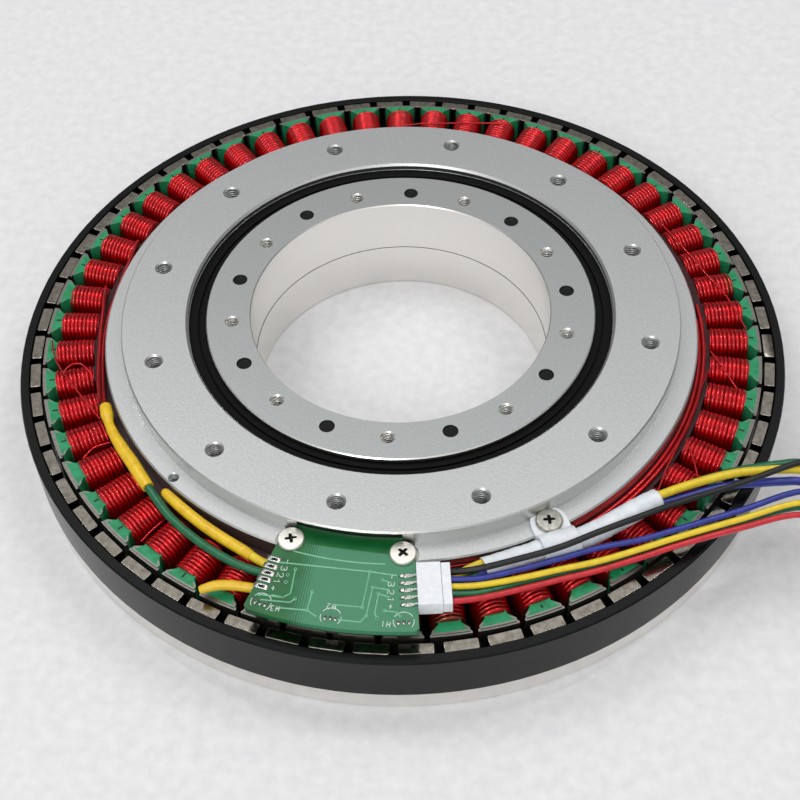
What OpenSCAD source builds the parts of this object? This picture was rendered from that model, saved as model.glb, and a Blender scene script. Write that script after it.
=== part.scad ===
// Hollow-shaft outrunner torque motor: a wound stator ring on an aluminium housing,
// a magnet rotor ring on a base plate, and a ball bearing between them.
// Millimetres. The origin is on the spin axis at the floor, +Z is up the shaft,
// and the sensor board is at the front, near -Y.

/* [Through hole and hub] */
// Diameter of the hole right through the shaft
through_bore_d = 84; // [78:0.5:88]
// Wall of the hub's sleeve, between the hole and the bearing
hub_wall = 8; // [7.5:0.1:8.5]
// Distance from the hole's wall to the circle of hub screws and tapped holes
hub_screw_inset = 5.24; // [4.6:0.02:5.6]
// Number of hub screws, and of tapped holes between them
hub_screw_count = 9; // [6:1:12]
// Angle of the first hub screw
hub_screw_angle = 87.43; // [0:0.5:360]
// Height of the hub's flange over the bearing
hub_flange_t = 1.2; // [0.8:0.1:1.6]
// Depth of the hub's spigot in the base plate
hub_spigot = 3; // [2:0.5:5]
// Diameter of the hub screws and of the tapped hub holes
hub_screw_d = 4; // [3:0.5:4]
// Depth of the tapped hub holes
hub_thread_depth = 12; // [8:1:14]

/* [Bearing] */
// Radial section of the bearing
bearing_section = 12.5; // [12:0.1:13.5]
// Width of the bearing
bearing_w = 13; // [12:0.5:15]
// Height of the bearing's seat on the base plate
bearing_seat_z = 18; // [16:0.5:20]
// Radial thickness of each race
race_t = 4; // [3.6:0.1:4.2]
// Diameter of a ball
ball_d = 7.5; // [6.8:0.1:7.6]
// Number of balls
ball_count = 24; // [16:1:28]
// Thickness of a seal
seal_t = 1.2; // [0.8:0.1:1.4]

/* [Rotor] */
// Thickness of the back-iron ring
ring_t = 2.61; // [2:0.01:5]
// Thickness of the base plate's floor
floor_t = 3.5; // [2.5:0.1:4]
// Height of the base plate's rim, where the back-iron ring stands
rim_z = 6.5; // [5.5:0.1:7]
// Rise of the base plate's spigot inside the back-iron ring
spigot_rise = 0.5; // [0.3:0.1:0.8]
// Number of magnets
magnet_count = 60; // [48:2:60]
// Width of a magnet
magnet_w = 8.7; // [7:0.1:9.4]
// Thickness of a magnet
magnet_t = 3; // [2.4:0.1:3.2]
// Height of a magnet
magnet_h = 14.5; // [12:0.5:15]
// Radius of a magnet's upright corners
magnet_corner = 0.5; // [0.2:0.1:0.8]
// Angle of the first magnet
magnet_angle = 3.4; // [0:0.1:6]

/* [Stator core] */
// Radial depth of the core, from its bore to the tips
core_depth = 21.5; // [20:0.1:22]
// Height of the lamination stack
stack_h = 14; // [12:0.5:15]
// Number of teeth
tooth_count = 54; // [36:6:54]
// Angle of the first tooth
tooth_angle = 4.9; // [0:0.1:6]
// Radial thickness of the yoke
yoke_t = 6.6; // [5.5:0.1:7]
// Width of a tooth's neck
neck_w = 4.9; // [4:0.1:5.2]
// Width of a tooth's tip
tip_w = 10.3; // [9:0.1:10.6]
// Radial thickness of a tip at its edge
tip_edge = 0.7; // [0.5:0.1:1]
// Radial length of the slope from the neck to the tip
tip_slope = 2.4; // [1.6:0.1:2.6]
// Thickness of the insulating coat in the slots
coat_side = 0.3; // [0.2:0.05:0.4]
// Thickness of the insulating coat on the end faces
coat_end = 0.35; // [0.2:0.05:0.5]

/* [Coils] */
// Turns side by side on a tooth
coil_turns = 9; // [6:1:9]
// Distance from turn to turn
turn_pitch = 1.2; // [1:0.05:1.2]
// Depth of the groove between two turns
turn_depth = 0.35; // [0.2:0.05:0.4]
// Flat width left on the crest of a turn
turn_flat = 0.4; // [0.2:0.05:0.6]
// Thickness of the winding beside the neck
coil_side = 1.8; // [1.5:0.1:2]
// Thickness of the winding over the neck's end faces
coil_crown = 1.55; // [1.5:0.05:1.8]
// Diameter of the loose winding wires
wire_d = 1.2; // [0.8:0.1:1.2]

/* [Housing] */
// Wall of the barrel, between the bearing and the core
barrel_wall = 17.5; // [16.5:0.1:18]
// Width of the ledge outside the top disc
ledge_step = 5.2; // [4.8:0.1:5.6]
// Thickness of the top disc
disc_t = 5; // [4.6:0.1:6]
// Reach of the ledge over the core's yoke
ledge_over = 3.2; // [2.8:0.1:3.4]
// Thickness of the lip that holds the bearing
lip_t = 2; // [1.5:0.1:2.5]
// Radial width of that lip
lip_w = 3; // [2.4:0.1:3.2]
// Distance from the bearing's seat to the circle of mounting holes
mount_inset = 7.5; // [6.5:0.1:9]
// Number of mounting holes
mount_count = 12; // [6:1:12]
// Angle of the first mounting hole
mount_angle = 108.2; // [0:0.5:360]
// Diameter of the tapped mounting holes
mount_hole_d = 5; // [4:0.5:6]
// Depth of the mounting holes
mount_depth = 12; // [8:1:16]

/* [Sensor board] */
// Angle of the board's middle
board_angle = -98.2; // [-100:0.2:-96]
// Angle that the board spans
board_span = 24.1; // [23.6:0.1:24.6]
// Thickness of the board
board_t = 1.6; // [1:0.1:1.6]
// Reach of the board's tongue under the disc
board_tuck = 1.8; // [1.4:0.1:2]
// Reach of the board over the tips of the teeth
board_over = 1.6; // [1:0.1:2.5]
// Depth of the board's seat in the ledge
board_seat = 1.2; // [0.8:0.1:1.4]
// Angle between a board screw and the board's middle
board_screw_angle = 10; // [9.8:0.1:10.2]
// Diameter of the small screws
small_screw_d = 3; // [2.5:0.1:3]
// Diameter of their heads
small_head_d = 6.3; // [5.5:0.1:6.4]
// Height of their heads
small_head_t = 1.2; // [0.8:0.1:1.6]
// Angle between two Hall sensors
hall_step = 10; // [9:0.1:10.4]
// Size of a Hall sensor across its face
hall_w = 4; // [3.6:0.1:4.2]
// Thickness of a Hall sensor
hall_t = 1.5; // [1.2:0.1:1.6]
// Height of a Hall sensor's body
hall_h = 3; // [2.6:0.1:3.2]
// Distance between a sensor's pins
hall_pin_pitch = 1.27; // [1.1:0.01:1.4]

/* [Connector] */
// Number of ways in the connector
ways = 5; // [3:1:5]
// Distance from way to way
way_pitch = 2.05; // [2:0.01:2.1]
// Width of the header
header_w = 12; // [11.9:0.1:12.6]
// Depth of the header along the leads
header_l = 6; // [5.5:0.1:6.5]
// Height of the header
header_h = 4.6; // [4.4:0.1:5]
// Wall of the header
header_wall = 0.6; // [0.5:0.05:0.7]
// Distance from the board's outer edge to the header's middle
header_inset = 11.5; // [11.3:0.1:11.7]
// Length of the plug that stays outside the header
plug_out = 2.3; // [1.5:0.1:3]

/* [Leads and clip] */
// Diameter of a motor lead
phase_lead_d = 2.3; // [1.8:0.1:2.3]
// Diameter of a sensor lead
sensor_lead_d = 1.6; // [1.2:0.1:1.6]
// Outside diameter of the white sleeve
sleeve_d = 5.8; // [5.6:0.1:5.8]
// Width of the cable clip's strap
clip_w = 9.5; // [8:0.1:10]
// Thickness of the cable clip
clip_t = 1; // [0.8:0.1:1.1]

/* [Hidden] */
$fn = 96;

// Clearances and small edges
press_gap = 0.02;
slip_gap = 0.05;
shaft_gap = 0.1;
ball_gap = 0.15;
pocket_gap = 0.25;
seal_gap = 0.3;
air_gap = 0.7;
glue_gap = 0.1;
coil_gap = 0.2;
edge = 0.4;
past = 1;

// Colours
aluminium = "#d4d6d8";
nickel = "#c9c6be";
steel = "#8f9294";
black_steel = "#1d1e20";
rubber_black = "#141414";
coat_green = "#2f8f5c";
wire_red = "#c8141c";
board_green = "#1d7a45";
plastic_white = "#ecedf0";
lead_yellow = "#e6c21e";
lead_green = "#17734a";
lead_blue = "#2a3596";
lead_black = "#15161a";
lead_red = "#d42a34";

// Diameters from the shaft outwards
bearing_bore_d = through_bore_d + 2 * hub_wall;
bearing_outer_d = bearing_bore_d + 2 * bearing_section;
hub_pcd = through_bore_d + 2 * hub_screw_inset;
mount_pcd = bearing_outer_d + 2 * mount_inset;
core_bore_d = bearing_outer_d + 2 * barrel_wall;
core_d = core_bore_d + 2 * core_depth;

// Radii from the shaft outwards
bore_r = through_bore_d / 2;
hub_sleeve_r = bearing_bore_d / 2;
inner_race_r = hub_sleeve_r + race_t;
housing_bore_r = bearing_outer_d / 2;
outer_race_r = housing_bore_r - press_gap;
outer_race_in_r = housing_bore_r - race_t;
ball_pitch_r = (hub_sleeve_r + housing_bore_r) / 2;
groove_r = ball_d / 2 + ball_gap;
boss_r = inner_race_r + 2;
hub_flange_r = inner_race_r + 0.5;
lip_r = housing_bore_r - lip_w;
core_in_r = core_bore_d / 2;
ledge_r = core_in_r + ledge_over;
disc_r = ledge_r - ledge_step;
small_screw_r = disc_r + small_head_d / 2 + slip_gap;
yoke_r = core_in_r + yoke_t;
core_r = core_d / 2;
slope_top_r = core_r - tip_edge;
neck_end_r = slope_top_r - tip_slope;
magnet_in_r = core_r + air_gap;
magnet_out_r = magnet_in_r + magnet_t;
ring_in_r = norm([magnet_out_r, magnet_w / 2]) + glue_gap;
ring_r = ring_in_r + ring_t;
plate_r = ring_r - 0.5;
spigot_r = ring_in_r - slip_gap;
shelf_r = magnet_in_r - 1;
board_r_in = disc_r - board_tuck;
board_r_out = core_r + board_over;
header_r = board_r_out - header_inset;

// Heights from the floor upwards
hub_seat_z = bearing_seat_z - hub_spigot;
spigot_z = rim_z + spigot_rise;
bearing_top_z = bearing_seat_z + bearing_w;
hub_top_z = bearing_top_z + hub_flange_t;
housing_top_z = bearing_top_z + lip_t;
ledge_z = housing_top_z - disc_t;
board_z = ledge_z - board_seat;
board_top_z = board_z + board_t;
lead_r = phase_lead_d / 2;
lead_room = 2 * (lead_r + slip_gap);
coil_top_z = board_z - lead_room;
core_top_z = coil_top_z - coil_crown - coat_end;
ledge_t = ledge_z - core_top_z;
core_bottom_z = core_top_z - stack_h;
core_mid_z = core_top_z - stack_h / 2;
coat_top_z = core_top_z + coat_end;
coat_bottom_z = core_bottom_z - coat_end;
barrel_z = core_bottom_z + 0.5;
ring_top_z = spigot_z + magnet_h + 0.3;

// Snap ring under the bearing
snap_t = 1.4;
snap_depth = 1.7;
snap_groove_t = snap_t + 0.1;
snap_gap_angle = 11;

// Base plate screw seats
head_d = 7;
head_t = 4;
screw_hole_r = hub_screw_d / 2 + 0.15;
hub_hole_r = hub_screw_d / 2 + shaft_gap;

// Coil sizes, from the coated neck outwards
coated_neck_w = neck_w + 2 * coat_side;
coated_h = stack_h + 2 * coat_end;
coil_w = coated_neck_w + 2 * coil_side;
coil_end_r = coil_w / 2;
coil_h = coated_h + 2 * coil_crown;
coil_end_z = coil_h / 2 - coil_end_r;
coil_l = coil_turns * turn_pitch;
coil_start_r = yoke_r + coat_side + coil_gap;

// Board and connector places
seat_span = board_span + 0.2;
screw_corner_r = small_head_d / 2 - 0.15;
pocket_in_r = board_r_in - 0.7;
pocket_roof = 0.6;
board_edge_angle = board_angle + board_span / 2;
clip_angle = -61.5;
spare_angle = -134.9;

// A tapped hole is as wide as its drill, with a countersink a little wider than the thread
drill_share = 0.83;
sink_lip = 0.03;
clip_turn = 20.3;
clip_reach = 6.4;
clip_foot_r = 4.7;
hall_r = board_r_out - 1.7 - hall_t / 2;
header_cavity_w = header_w - 2 * header_wall;
header_cavity_h = header_h - 2 * header_wall;
header_back = 1.2;
plug_w = header_cavity_w - 2 * shaft_gap;
plug_h = header_cavity_h - 2 * shaft_gap;
plug_flange_w = header_w - 0.2;
plug_flange_h = header_h - 0.8;
header_mid_z = board_z + header_h / 2;
header_pin_w = 0.5;
header_pin_out = 2.5;
header_pin_in = 3.8;

// Routes of the leads, as points [x, y, z]. They were chosen with the ledge's screws on this radius
// and the leads under the board at this height, and they follow both.
route_home_r = 81.2;
route_home_z = 25.6;
sleeve_route = [
    [22.4, -84.5, 27.4], [28.0, -82.4, 27.4], [35.3, -79.5, 27.4], [41.0, -77.4, 27.4],
    [46.6, -75.3, 27.4], [51.5, -72.6, 27.4], [56.8, -69.2, 27.4], [62.0, -65.7, 27.4],
    [66.6, -63.0, 27.4]];
joint_1_route = [
    [-79.4, -31.9, 26.3], [-78.4, -35.2, 26.3], [-77.3, -38.3, 26.3], [-75.6, -41.8, 26.3],
    [-72.4, -46.9, 26.3], [-69.4, -51.2, 26.3], [-66.6, -55.5, 26.3], [-63.9, -59.4, 26.2]];
joint_1_radii = [1.6, 1.75, 1.3, 1.45, 1.7, 1.8, 1.8, 1.65];
joint_2_route = [
    [-59.7, -60.5, 25.9], [-54.8, -65.4, 26.0], [-49.0, -70.5, 26.0], [-43.4, -74.7, 26.0],
    [-38.0, -78.3, 25.9], [-35.3, -80.1, 25.8]];
joint_2_radii = [1.3, 1.5, 1.5, 1.5, 1.5, 1.35];
joint_3_route = [
    [-47.2, -90.0, 25.3], [-43.2, -89.0, 25.9], [-39.4, -88.9, 25.9], [-35.2, -89.4, 25.8]];
joint_3_radii = [1.1, 1.3, 1.3, 1.25];
green_inner_route = [
    [-63.9, -59.4, 26.2], [-58.5, -66.8, 25.7], [-54.0, -71.5, 25.6], [-48.2, -76.4, 25.6],
    [-42.7, -80.2, 25.6], [-37.3, -83.2, 25.6], [-31.0, -85.4, 25.6], [-22.0, -88.1, 25.6],
    [-11.0, -90.1, 25.6], [0.0, -90.7, 25.6], [8.0, -90.3, 25.6], [14.5, -89.1, 25.6],
    [18.4, -87.1, 25.7]];
yellow_inner_route = [
    [-35.3, -80.1, 25.8], [-30.5, -82.8, 25.6], [-21.0, -85.4, 25.6], [-10.0, -87.4, 25.6],
    [0.0, -88.0, 25.6], [8.0, -87.6, 25.6], [14.5, -86.4, 25.7], [18.2, -84.7, 27.0]];
blue_inner_route = [
    [-35.2, -89.4, 25.8], [-32.0, -89.8, 25.7], [-22.5, -91.0, 25.6], [-11.5, -92.8, 25.6],
    [0.0, -93.4, 25.6], [8.0, -93.0, 25.6], [14.5, -91.7, 25.6], [19.0, -89.4, 26.5]];
phase_yellow_tail = [
    [72.4, -60.2, 28.4], [77.8, -57.9, 28.0], [83.1, -56.0, 27.8], [88.5, -54.5, 27.6],
    [93.7, -53.7, 27.3], [98.9, -53.0, 27.0], [105.3, -53.0, 26.6], [118.0, -53.0, 22.0],
    [130.0, -52.0, 10.5], [142.0, -50.0, 3.4], [156.0, -46.5, 1.7], [176.0, -40.0, 1.35],
    [200.0, -30.0, 1.25]];
phase_blue_tail = [
    [72.5, -61.9, 26.2], [77.9, -59.8, 26.0], [83.2, -58.0, 25.8], [88.4, -56.8, 25.6],
    [93.6, -56.3, 25.6], [98.8, -55.8, 25.5], [105.2, -55.9, 25.4], [118.0, -57.0, 20.5],
    [130.0, -56.0, 9.5], [142.0, -54.0, 3.2], [156.0, -50.5, 1.7], [177.0, -43.5, 1.35],
    [201.0, -33.5, 1.25]];
phase_green_tail = [
    [72.8, -58.4, 25.9], [78.2, -56.0, 25.7], [83.6, -54.0, 25.6], [88.9, -52.3, 25.5],
    [94.2, -51.2, 25.5], [99.4, -50.2, 25.4], [105.8, -49.6, 25.2], [118.0, -49.2, 20.0],
    [130.0, -48.2, 9.0], [142.0, -46.0, 3.2], [156.0, -42.5, 1.7], [176.0, -36.0, 1.35],
    [199.0, -26.0, 1.25]];
black_tail = [
    [21.3, -86.7, 30.9], [31.0, -84.1, 31.4], [40.8, -80.9, 31.7], [50.9, -75.9, 31.4],
    [61.1, -71.0, 30.9], [71.7, -65.7, 29.8], [87.7, -59.0, 28.9], [105.1, -51.7, 29.0],
    [118.0, -47.0, 25.0], [130.0, -43.0, 13.0], [142.0, -39.5, 3.6], [156.0, -35.5, 1.3],
    [172.0, -30.5, 0.95], [190.0, -24.5, 0.9]];
blue_tail = [
    [21.4, -88.4, 29.2], [31.1, -85.7, 29.1], [41.1, -82.3, 28.9], [51.0, -78.7, 28.4],
    [61.0, -76.1, 28.1], [71.2, -72.5, 28.0], [86.8, -66.7, 27.7], [104.1, -60.2, 27.5],
    [118.0, -60.5, 23.0], [130.0, -60.0, 11.0], [142.0, -58.5, 3.2], [156.0, -55.5, 1.3],
    [172.0, -51.0, 0.95], [189.0, -46.0, 0.9]];
yellow_tail = [
    [21.3, -90.0, 28.6], [31.1, -87.7, 28.3], [40.9, -84.8, 27.9], [50.8, -82.0, 27.6],
    [60.9, -78.3, 27.4], [71.2, -74.3, 27.2], [86.6, -68.9, 27.1], [103.7, -63.3, 26.9],
    [118.0, -63.5, 22.0], [130.0, -63.5, 10.5], [142.0, -62.5, 3.0], [156.0, -60.0, 1.3],
    [172.0, -56.0, 0.95], [189.0, -51.0, 0.9]];
green_tail = [
    [21.3, -91.6, 27.7], [31.1, -88.0, 26.6], [41.0, -84.8, 26.0], [51.0, -81.8, 25.8],
    [61.1, -77.9, 25.6], [71.4, -73.9, 25.5], [86.9, -68.6, 25.3], [104.0, -63.6, 25.1],
    [118.0, -66.5, 20.5], [130.0, -67.0, 9.5], [142.0, -66.5, 2.8], [156.0, -64.5, 1.25],
    [172.0, -61.0, 0.95], [188.0, -56.5, 0.9]];
red_tail = [
    [21.3, -93.3, 28.0], [31.0, -90.1, 27.0], [40.9, -86.9, 26.6], [50.9, -83.7, 26.2],
    [61.0, -79.9, 26.0], [71.2, -75.9, 25.9], [86.6, -70.7, 25.8], [103.6, -66.3, 25.6],
    [118.0, -70.0, 20.5], [130.0, -71.0, 9.5], [142.0, -71.0, 2.8], [156.0, -69.5, 1.25],
    [172.0, -66.5, 0.95], [188.0, -62.5, 0.9]];

// Routes of the winding wires, as points [angle, radius, height]
left_wire_a = [[-188, 88.4, 25.1], [-183, 86.2, 24.6], [-176, 85.2, 24.2], [-168, 85.0, 24.6],
    [-161, 85.2, 25.6], [-158.3, 85.6, 26.3]];
left_wire_b = [[-184, 89.5, 25.1], [-178, 87.4, 25.1], [-171, 86.5, 25.2], [-163, 86.6, 25.9],
    [-159.4, 86.9, 26.6]];
crossover_wires = [
    [[-181, 99.3, 23.7], [-176, 97.6, 25.1], [-170, 94.4, 25.2], [-165, 91.2, 25.2],
        [-160, 88.6, 25.2], [-154, 88.2, 25.1]],
    [[-151.8, 97.2, 20.5], [-151.7, 92.5, 21.1], [-151.8, 88.7, 21.7]],
    [[-131.8, 97.2, 20.5], [-131.7, 92.5, 21.1], [-131.8, 88.7, 21.7]],
    [[-35, 95.4, 25.1], [-32, 91.5, 25.1], [-28.5, 87.0, 25.1]],
    [[-14.5, 95.0, 25.1], [-10, 90.2, 25.1], [-6.5, 87.0, 24.6]],
    [[-1, 97.4, 25.1], [7, 94.0, 25.1], [13, 90.9, 25.1], [20, 89.0, 25.1], [30, 88.2, 25.1]],
    [[68, 97.8, 25.1], [76, 96.6, 25.1], [84, 94.4, 25.1], [90, 92.3, 25.1], [96, 90.2, 25.1]]];

// Shared helpers
module ring(outer_r, inner_r, height, z = 0) {
    translate([0, 0, z]) difference() {
        cylinder(r = outer_r, h = height);
        translate([0, 0, -past]) cylinder(r = inner_r, h = height + 2 * past);
    }
}

module spread(count, first = 0) {
    for (i = [0 : count - 1]) rotate([0, 0, first + i * 360 / count]) children();
}

function unit(v) = v / norm(v);
function polar(p) = [p[1] * cos(p[0]), p[1] * sin(p[0]), p[2]];
function carried(route) = [for (p = route)
    let (out = 1 + (small_screw_r - route_home_r) / norm([p[0], p[1]]))
        [out * p[0], out * p[1], p[2] + coil_top_z + slip_gap + lead_r - route_home_z]];
function heading(path, i) =
    unit(path[min(i + 1, len(path) - 1)] - path[max(i - 1, 0)]);
function across(t) = unit(cross([0, 0, 1], t));

// Smooth curve through the points of a path, with a number of steps on each stretch
function curve_point(a, b, c, d, t) =
    0.5 * (2 * b + (c - a) * t + (2 * a - 5 * b + 4 * c - d) * t * t
        + (3 * b - a - 3 * c + d) * t * t * t);
function smooth(path, steps) = let (last = len(path) - 1) concat(
    [for (i = [0 : last - 1]) for (s = [0 : steps - 1])
        curve_point(path[max(i - 1, 0)], path[i], path[i + 1], path[min(i + 2, last)], s / steps)],
    [path[last]]);

// Ring of points square to a path, and the tube swept along it
function hoop(path, i, radius, sides) = let (t = heading(path, i), n = across(t), b = cross(t, n))
    [for (j = [0 : sides - 1]) path[i] + radius * (cos(360 * j / sides) * n + sin(360 * j / sides) * b)];
function wall_faces(rings, sides, start) = [for (i = [0 : rings - 2]) for (j = [0 : sides - 1])
    for (side = [0, 1]) let (a = start + i * sides + j, b = start + i * sides + (j + 1) % sides)
        side == 0 ? [a, b + sides, b] : [a, a + sides, b + sides]];
function turned(faces) = [for (f = faces) [f[0], f[2], f[1]]];

module tube(path, radii, sides = 8) {
    count = len(path);
    end = (count - 1) * sides;
    points = [for (i = [0 : count - 1]) each hoop(path, i, is_list(radii) ? radii[i] : radii, sides)];
    first_cap = [for (j = [1 : sides - 2]) [0, j, j + 1]];
    last_cap = [for (j = [1 : sides - 2]) [end, end + j + 1, end + j]];
    polyhedron(points, concat(first_cap, last_cap, wall_faces(count, sides, 0)));
}

// Hollow tube: the outer wall, the bore and two flat end rings
module hollow_tube(path, outer_r, inner_r, sides = 12) {
    count = len(path);
    inner = count * sides;
    end = (count - 1) * sides;
    points = concat(
        [for (i = [0 : count - 1]) each hoop(path, i, outer_r, sides)],
        [for (i = [0 : count - 1]) each hoop(path, i, inner_r, sides)]);
    start_ring = [for (j = [0 : sides - 1]) for (side = [0, 1]) let (k = (j + 1) % sides)
        side == 0 ? [j, k, inner + k] : [j, inner + k, inner + j]];
    end_ring = [for (j = [0 : sides - 1]) for (side = [0, 1]) let (k = (j + 1) % sides)
        side == 0 ? [end + j, inner + end + k, end + k] : [end + j, inner + end + j, inner + end + k]];
    polyhedron(points, concat(wall_faces(count, sides, 0),
        turned(wall_faces(count, sides, inner)), start_ring, end_ring));
}

// Places on the core, the board and the ledge, each with +X along the radius
module at_tooth(k) {
    rotate([0, 0, tooth_angle + k * 360 / tooth_count]) children();
}

module at_board_edge() {
    rotate([0, 0, board_edge_angle]) translate([header_r, 0, board_z]) children();
}

module at_ledge_hole(angle, z) {
    rotate([0, 0, angle]) translate([small_screw_r, 0, z]) children();
}

// Part of a ring between two angles, flat and with a height
module sector_2d(angle, span, inner_r, outer_r) {
    reach = outer_r + past;
    wide = reach * tan(span / 2);
    intersection() {
        difference() {
            circle(r = outer_r);
            circle(r = inner_r);
        }
        rotate(angle) polygon([[0, 0], [reach, -wide], [reach, wide]]);
    }
}

module sector(angle, span, inner_r, outer_r, height, z) {
    translate([0, 0, z]) linear_extrude(height) sector_2d(angle, span, inner_r, outer_r);
}

// What a tapped hole takes away, from the face at z = 0 down
module tapped_hole(thread_d, depth) {
    drill_r = drill_share * thread_d / 2;
    sink = thread_d / 2 + sink_lip - drill_r;
    rotate_extrude($fn = 24) polygon([
        [0, -depth], [drill_r, -depth], [drill_r, -sink], [drill_r + sink + past, past], [0, past]]);
}

// Rotor
module rotor_base_plate() {
    step_z = bearing_seat_z - 1.5;
    shoulder_r = inner_race_r - 0.2;
    recess_r = hub_sleeve_r + slip_gap;
    color(aluminium) difference() {
        rotate_extrude() polygon([
            [bore_r + edge, 0], [plate_r - edge, 0], [plate_r, edge], [plate_r, rim_z],
            [spigot_r, rim_z], [spigot_r, spigot_z], [shelf_r, spigot_z], [shelf_r, floor_t],
            [boss_r, floor_t], [boss_r, step_z], [shoulder_r, step_z],
            [shoulder_r, bearing_seat_z], [recess_r, bearing_seat_z], [recess_r, hub_seat_z],
            [bore_r, hub_seat_z], [bore_r, edge]]);
        spread(hub_screw_count, hub_screw_angle) translate([hub_pcd / 2, 0, -past]) {
            cylinder(r = screw_hole_r, h = hub_seat_z + 2 * past, $fn = 32);
            cylinder(d = head_d + 2 * shaft_gap, h = head_t + 0.2 + past, $fn = 32);
        }
    }
}

module rotor_back_iron_ring() {
    step = 0.35;
    color(black_steel) rotate_extrude() polygon([
        [ring_in_r, rim_z], [ring_r - step, rim_z], [ring_r, rim_z + step],
        [ring_r, ring_top_z - 2 * step], [ring_r - step, ring_top_z - step],
        [ring_r - step, ring_top_z], [ring_in_r + 0.2, ring_top_z],
        [ring_in_r, ring_top_z - 0.2]]);
}

// A block magnet with rounded upright corners, standing on the base plate's spigot
module magnet() {
    inside_w = magnet_w - 2 * magnet_corner;
    inside_t = magnet_t - 2 * magnet_corner;
    translate([magnet_in_r + magnet_t / 2, 0, spigot_z]) {
        translate([-magnet_t / 2, -inside_w / 2, 0]) cube([magnet_t, inside_w, magnet_h]);
        translate([-inside_t / 2, -magnet_w / 2, 0]) cube([inside_t, magnet_w, magnet_h]);
        for (x = [-1, 1]) for (y = [-1, 1])
            translate([x * inside_t / 2, y * inside_w / 2, 0])
                cylinder(r = magnet_corner, h = magnet_h, $fn = 16);
    }
}

module magnet_set(first) {
    color(nickel) for (k = [first : 2 : magnet_count - 1])
        rotate([0, 0, magnet_angle + k * 360 / magnet_count]) magnet();
}

module magnets_north() { magnet_set(0); }
module magnets_south() { magnet_set(1); }

module hub_ring() {
    sleeve_r = hub_sleeve_r - press_gap;
    soft = 0.3;
    color(aluminium) difference() {
        rotate_extrude() polygon([
            [bore_r, hub_seat_z], [sleeve_r, hub_seat_z], [sleeve_r, bearing_top_z],
            [hub_flange_r, bearing_top_z], [hub_flange_r, hub_top_z - soft],
            [hub_flange_r - soft, hub_top_z], [bore_r + soft, hub_top_z],
            [bore_r, hub_top_z - soft]]);
        spread(hub_screw_count, hub_screw_angle) translate([hub_pcd / 2, 0, hub_seat_z - past]) {
            cylinder(r = hub_hole_r, h = hub_top_z - hub_seat_z + 2 * past, $fn = 32);
        }
        spread(hub_screw_count, hub_screw_angle + 180 / hub_screw_count)
            translate([hub_pcd / 2, 0, hub_top_z]) tapped_hole(hub_screw_d, hub_thread_depth);
    }
}

module hub_screws() {
    head_z = 0.2;
    end_z = hub_top_z - 0.6;
    color(black_steel) spread(hub_screw_count, hub_screw_angle) translate([hub_pcd / 2, 0, head_z])
        difference() {
            union() {
                cylinder(d = head_d, h = head_t, $fn = 32);
                cylinder(d = hub_screw_d, h = end_z - head_z, $fn = 32);
            }
            translate([0, 0, -past]) cylinder(d = head_d * 0.5, h = past + head_t / 2, $fn = 6);
        }
}

// Bearing
bearing_mid_z = bearing_seat_z + bearing_w / 2;
seal_drop = 0.5;
seal_recess = seal_drop + seal_t;
seal_recess_r = outer_race_in_r + 0.9;

module groove() {
    translate([ball_pitch_r, bearing_mid_z]) circle(r = groove_r);
}

module bearing_inner_race() {
    color(steel) rotate_extrude() difference() {
        translate([hub_sleeve_r, bearing_seat_z]) square([race_t, bearing_w]);
        groove();
    }
}

module bearing_outer_race() {
    color(steel) rotate_extrude() difference() {
        translate([outer_race_in_r, bearing_seat_z])
            square([outer_race_r - outer_race_in_r, bearing_w]);
        groove();
        for (z = [bearing_seat_z - past, bearing_top_z - seal_recess])
            translate([outer_race_in_r - past, z])
                square([seal_recess_r - outer_race_in_r + past, seal_recess + past]);
    }
}

module bearing_balls() {
    color(steel) spread(ball_count) translate([ball_pitch_r, 0, bearing_mid_z])
        sphere(d = ball_d, $fn = 48);
}

// Crown cage: a thin ring under the balls, with fingers up between them
module bearing_cage() {
    cage_t = 2.2;
    pocket_r = ball_d / 2 + pocket_gap;
    below = bearing_w / 2 - seal_recess - 0.15;
    above = 1.8;
    color("#3b3d3f") difference() {
        ring(ball_pitch_r + cage_t / 2, ball_pitch_r - cage_t / 2, below + above, bearing_mid_z - below);
        spread(ball_count) translate([ball_pitch_r, 0, bearing_mid_z]) sphere(r = pocket_r, $fn = 48);
    }
}

// Seal profile, with the groove on its outer face
module seal() {
    inner_r = inner_race_r + seal_gap;
    outer_r = seal_recess_r - slip_gap;
    groove_in_r = inner_r + 2;
    groove_out_r = groove_in_r + 0.6;
    groove_deep = 0.6 * seal_t;
    rotate_extrude() polygon([
        [inner_r, 0], [outer_r, 0], [outer_r, seal_t], [groove_out_r, seal_t],
        [groove_out_r, seal_t - groove_deep], [groove_in_r, seal_t - groove_deep],
        [groove_in_r, seal_t], [inner_r, seal_t]]);
}

module bearing_seal_top() {
    color(rubber_black) translate([0, 0, bearing_top_z - seal_recess]) seal();
}

module bearing_seal_bottom() {
    color(rubber_black) translate([0, 0, bearing_seat_z + seal_recess]) mirror([0, 0, 1]) seal();
}

module bearing_snap_ring() {
    outer_r = housing_bore_r + snap_depth - 0.2;
    inner_r = housing_bore_r - 2;
    lug_r = 1.8;
    lug_turn = snap_gap_angle / 2 + 2;
    color(black_steel) translate([0, 0, bearing_seat_z - snap_t - slip_gap]) difference() {
        union() {
            difference() {
                ring(outer_r, inner_r, snap_t);
                sector(90, snap_gap_angle, inner_r - past, outer_r + past, snap_t + 2 * past, -past);
            }
            for (side = [-1, 1]) rotate([0, 0, 90 + side * lug_turn])
                translate([inner_r - 0.6, 0, 0]) cylinder(r = lug_r, h = snap_t, $fn = 32);
        }
        for (side = [-1, 1]) rotate([0, 0, 90 + side * lug_turn])
            translate([inner_r - 0.8, 0, -past]) cylinder(r = 0.8, h = snap_t + 2 * past, $fn = 24);
    }
}

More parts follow.
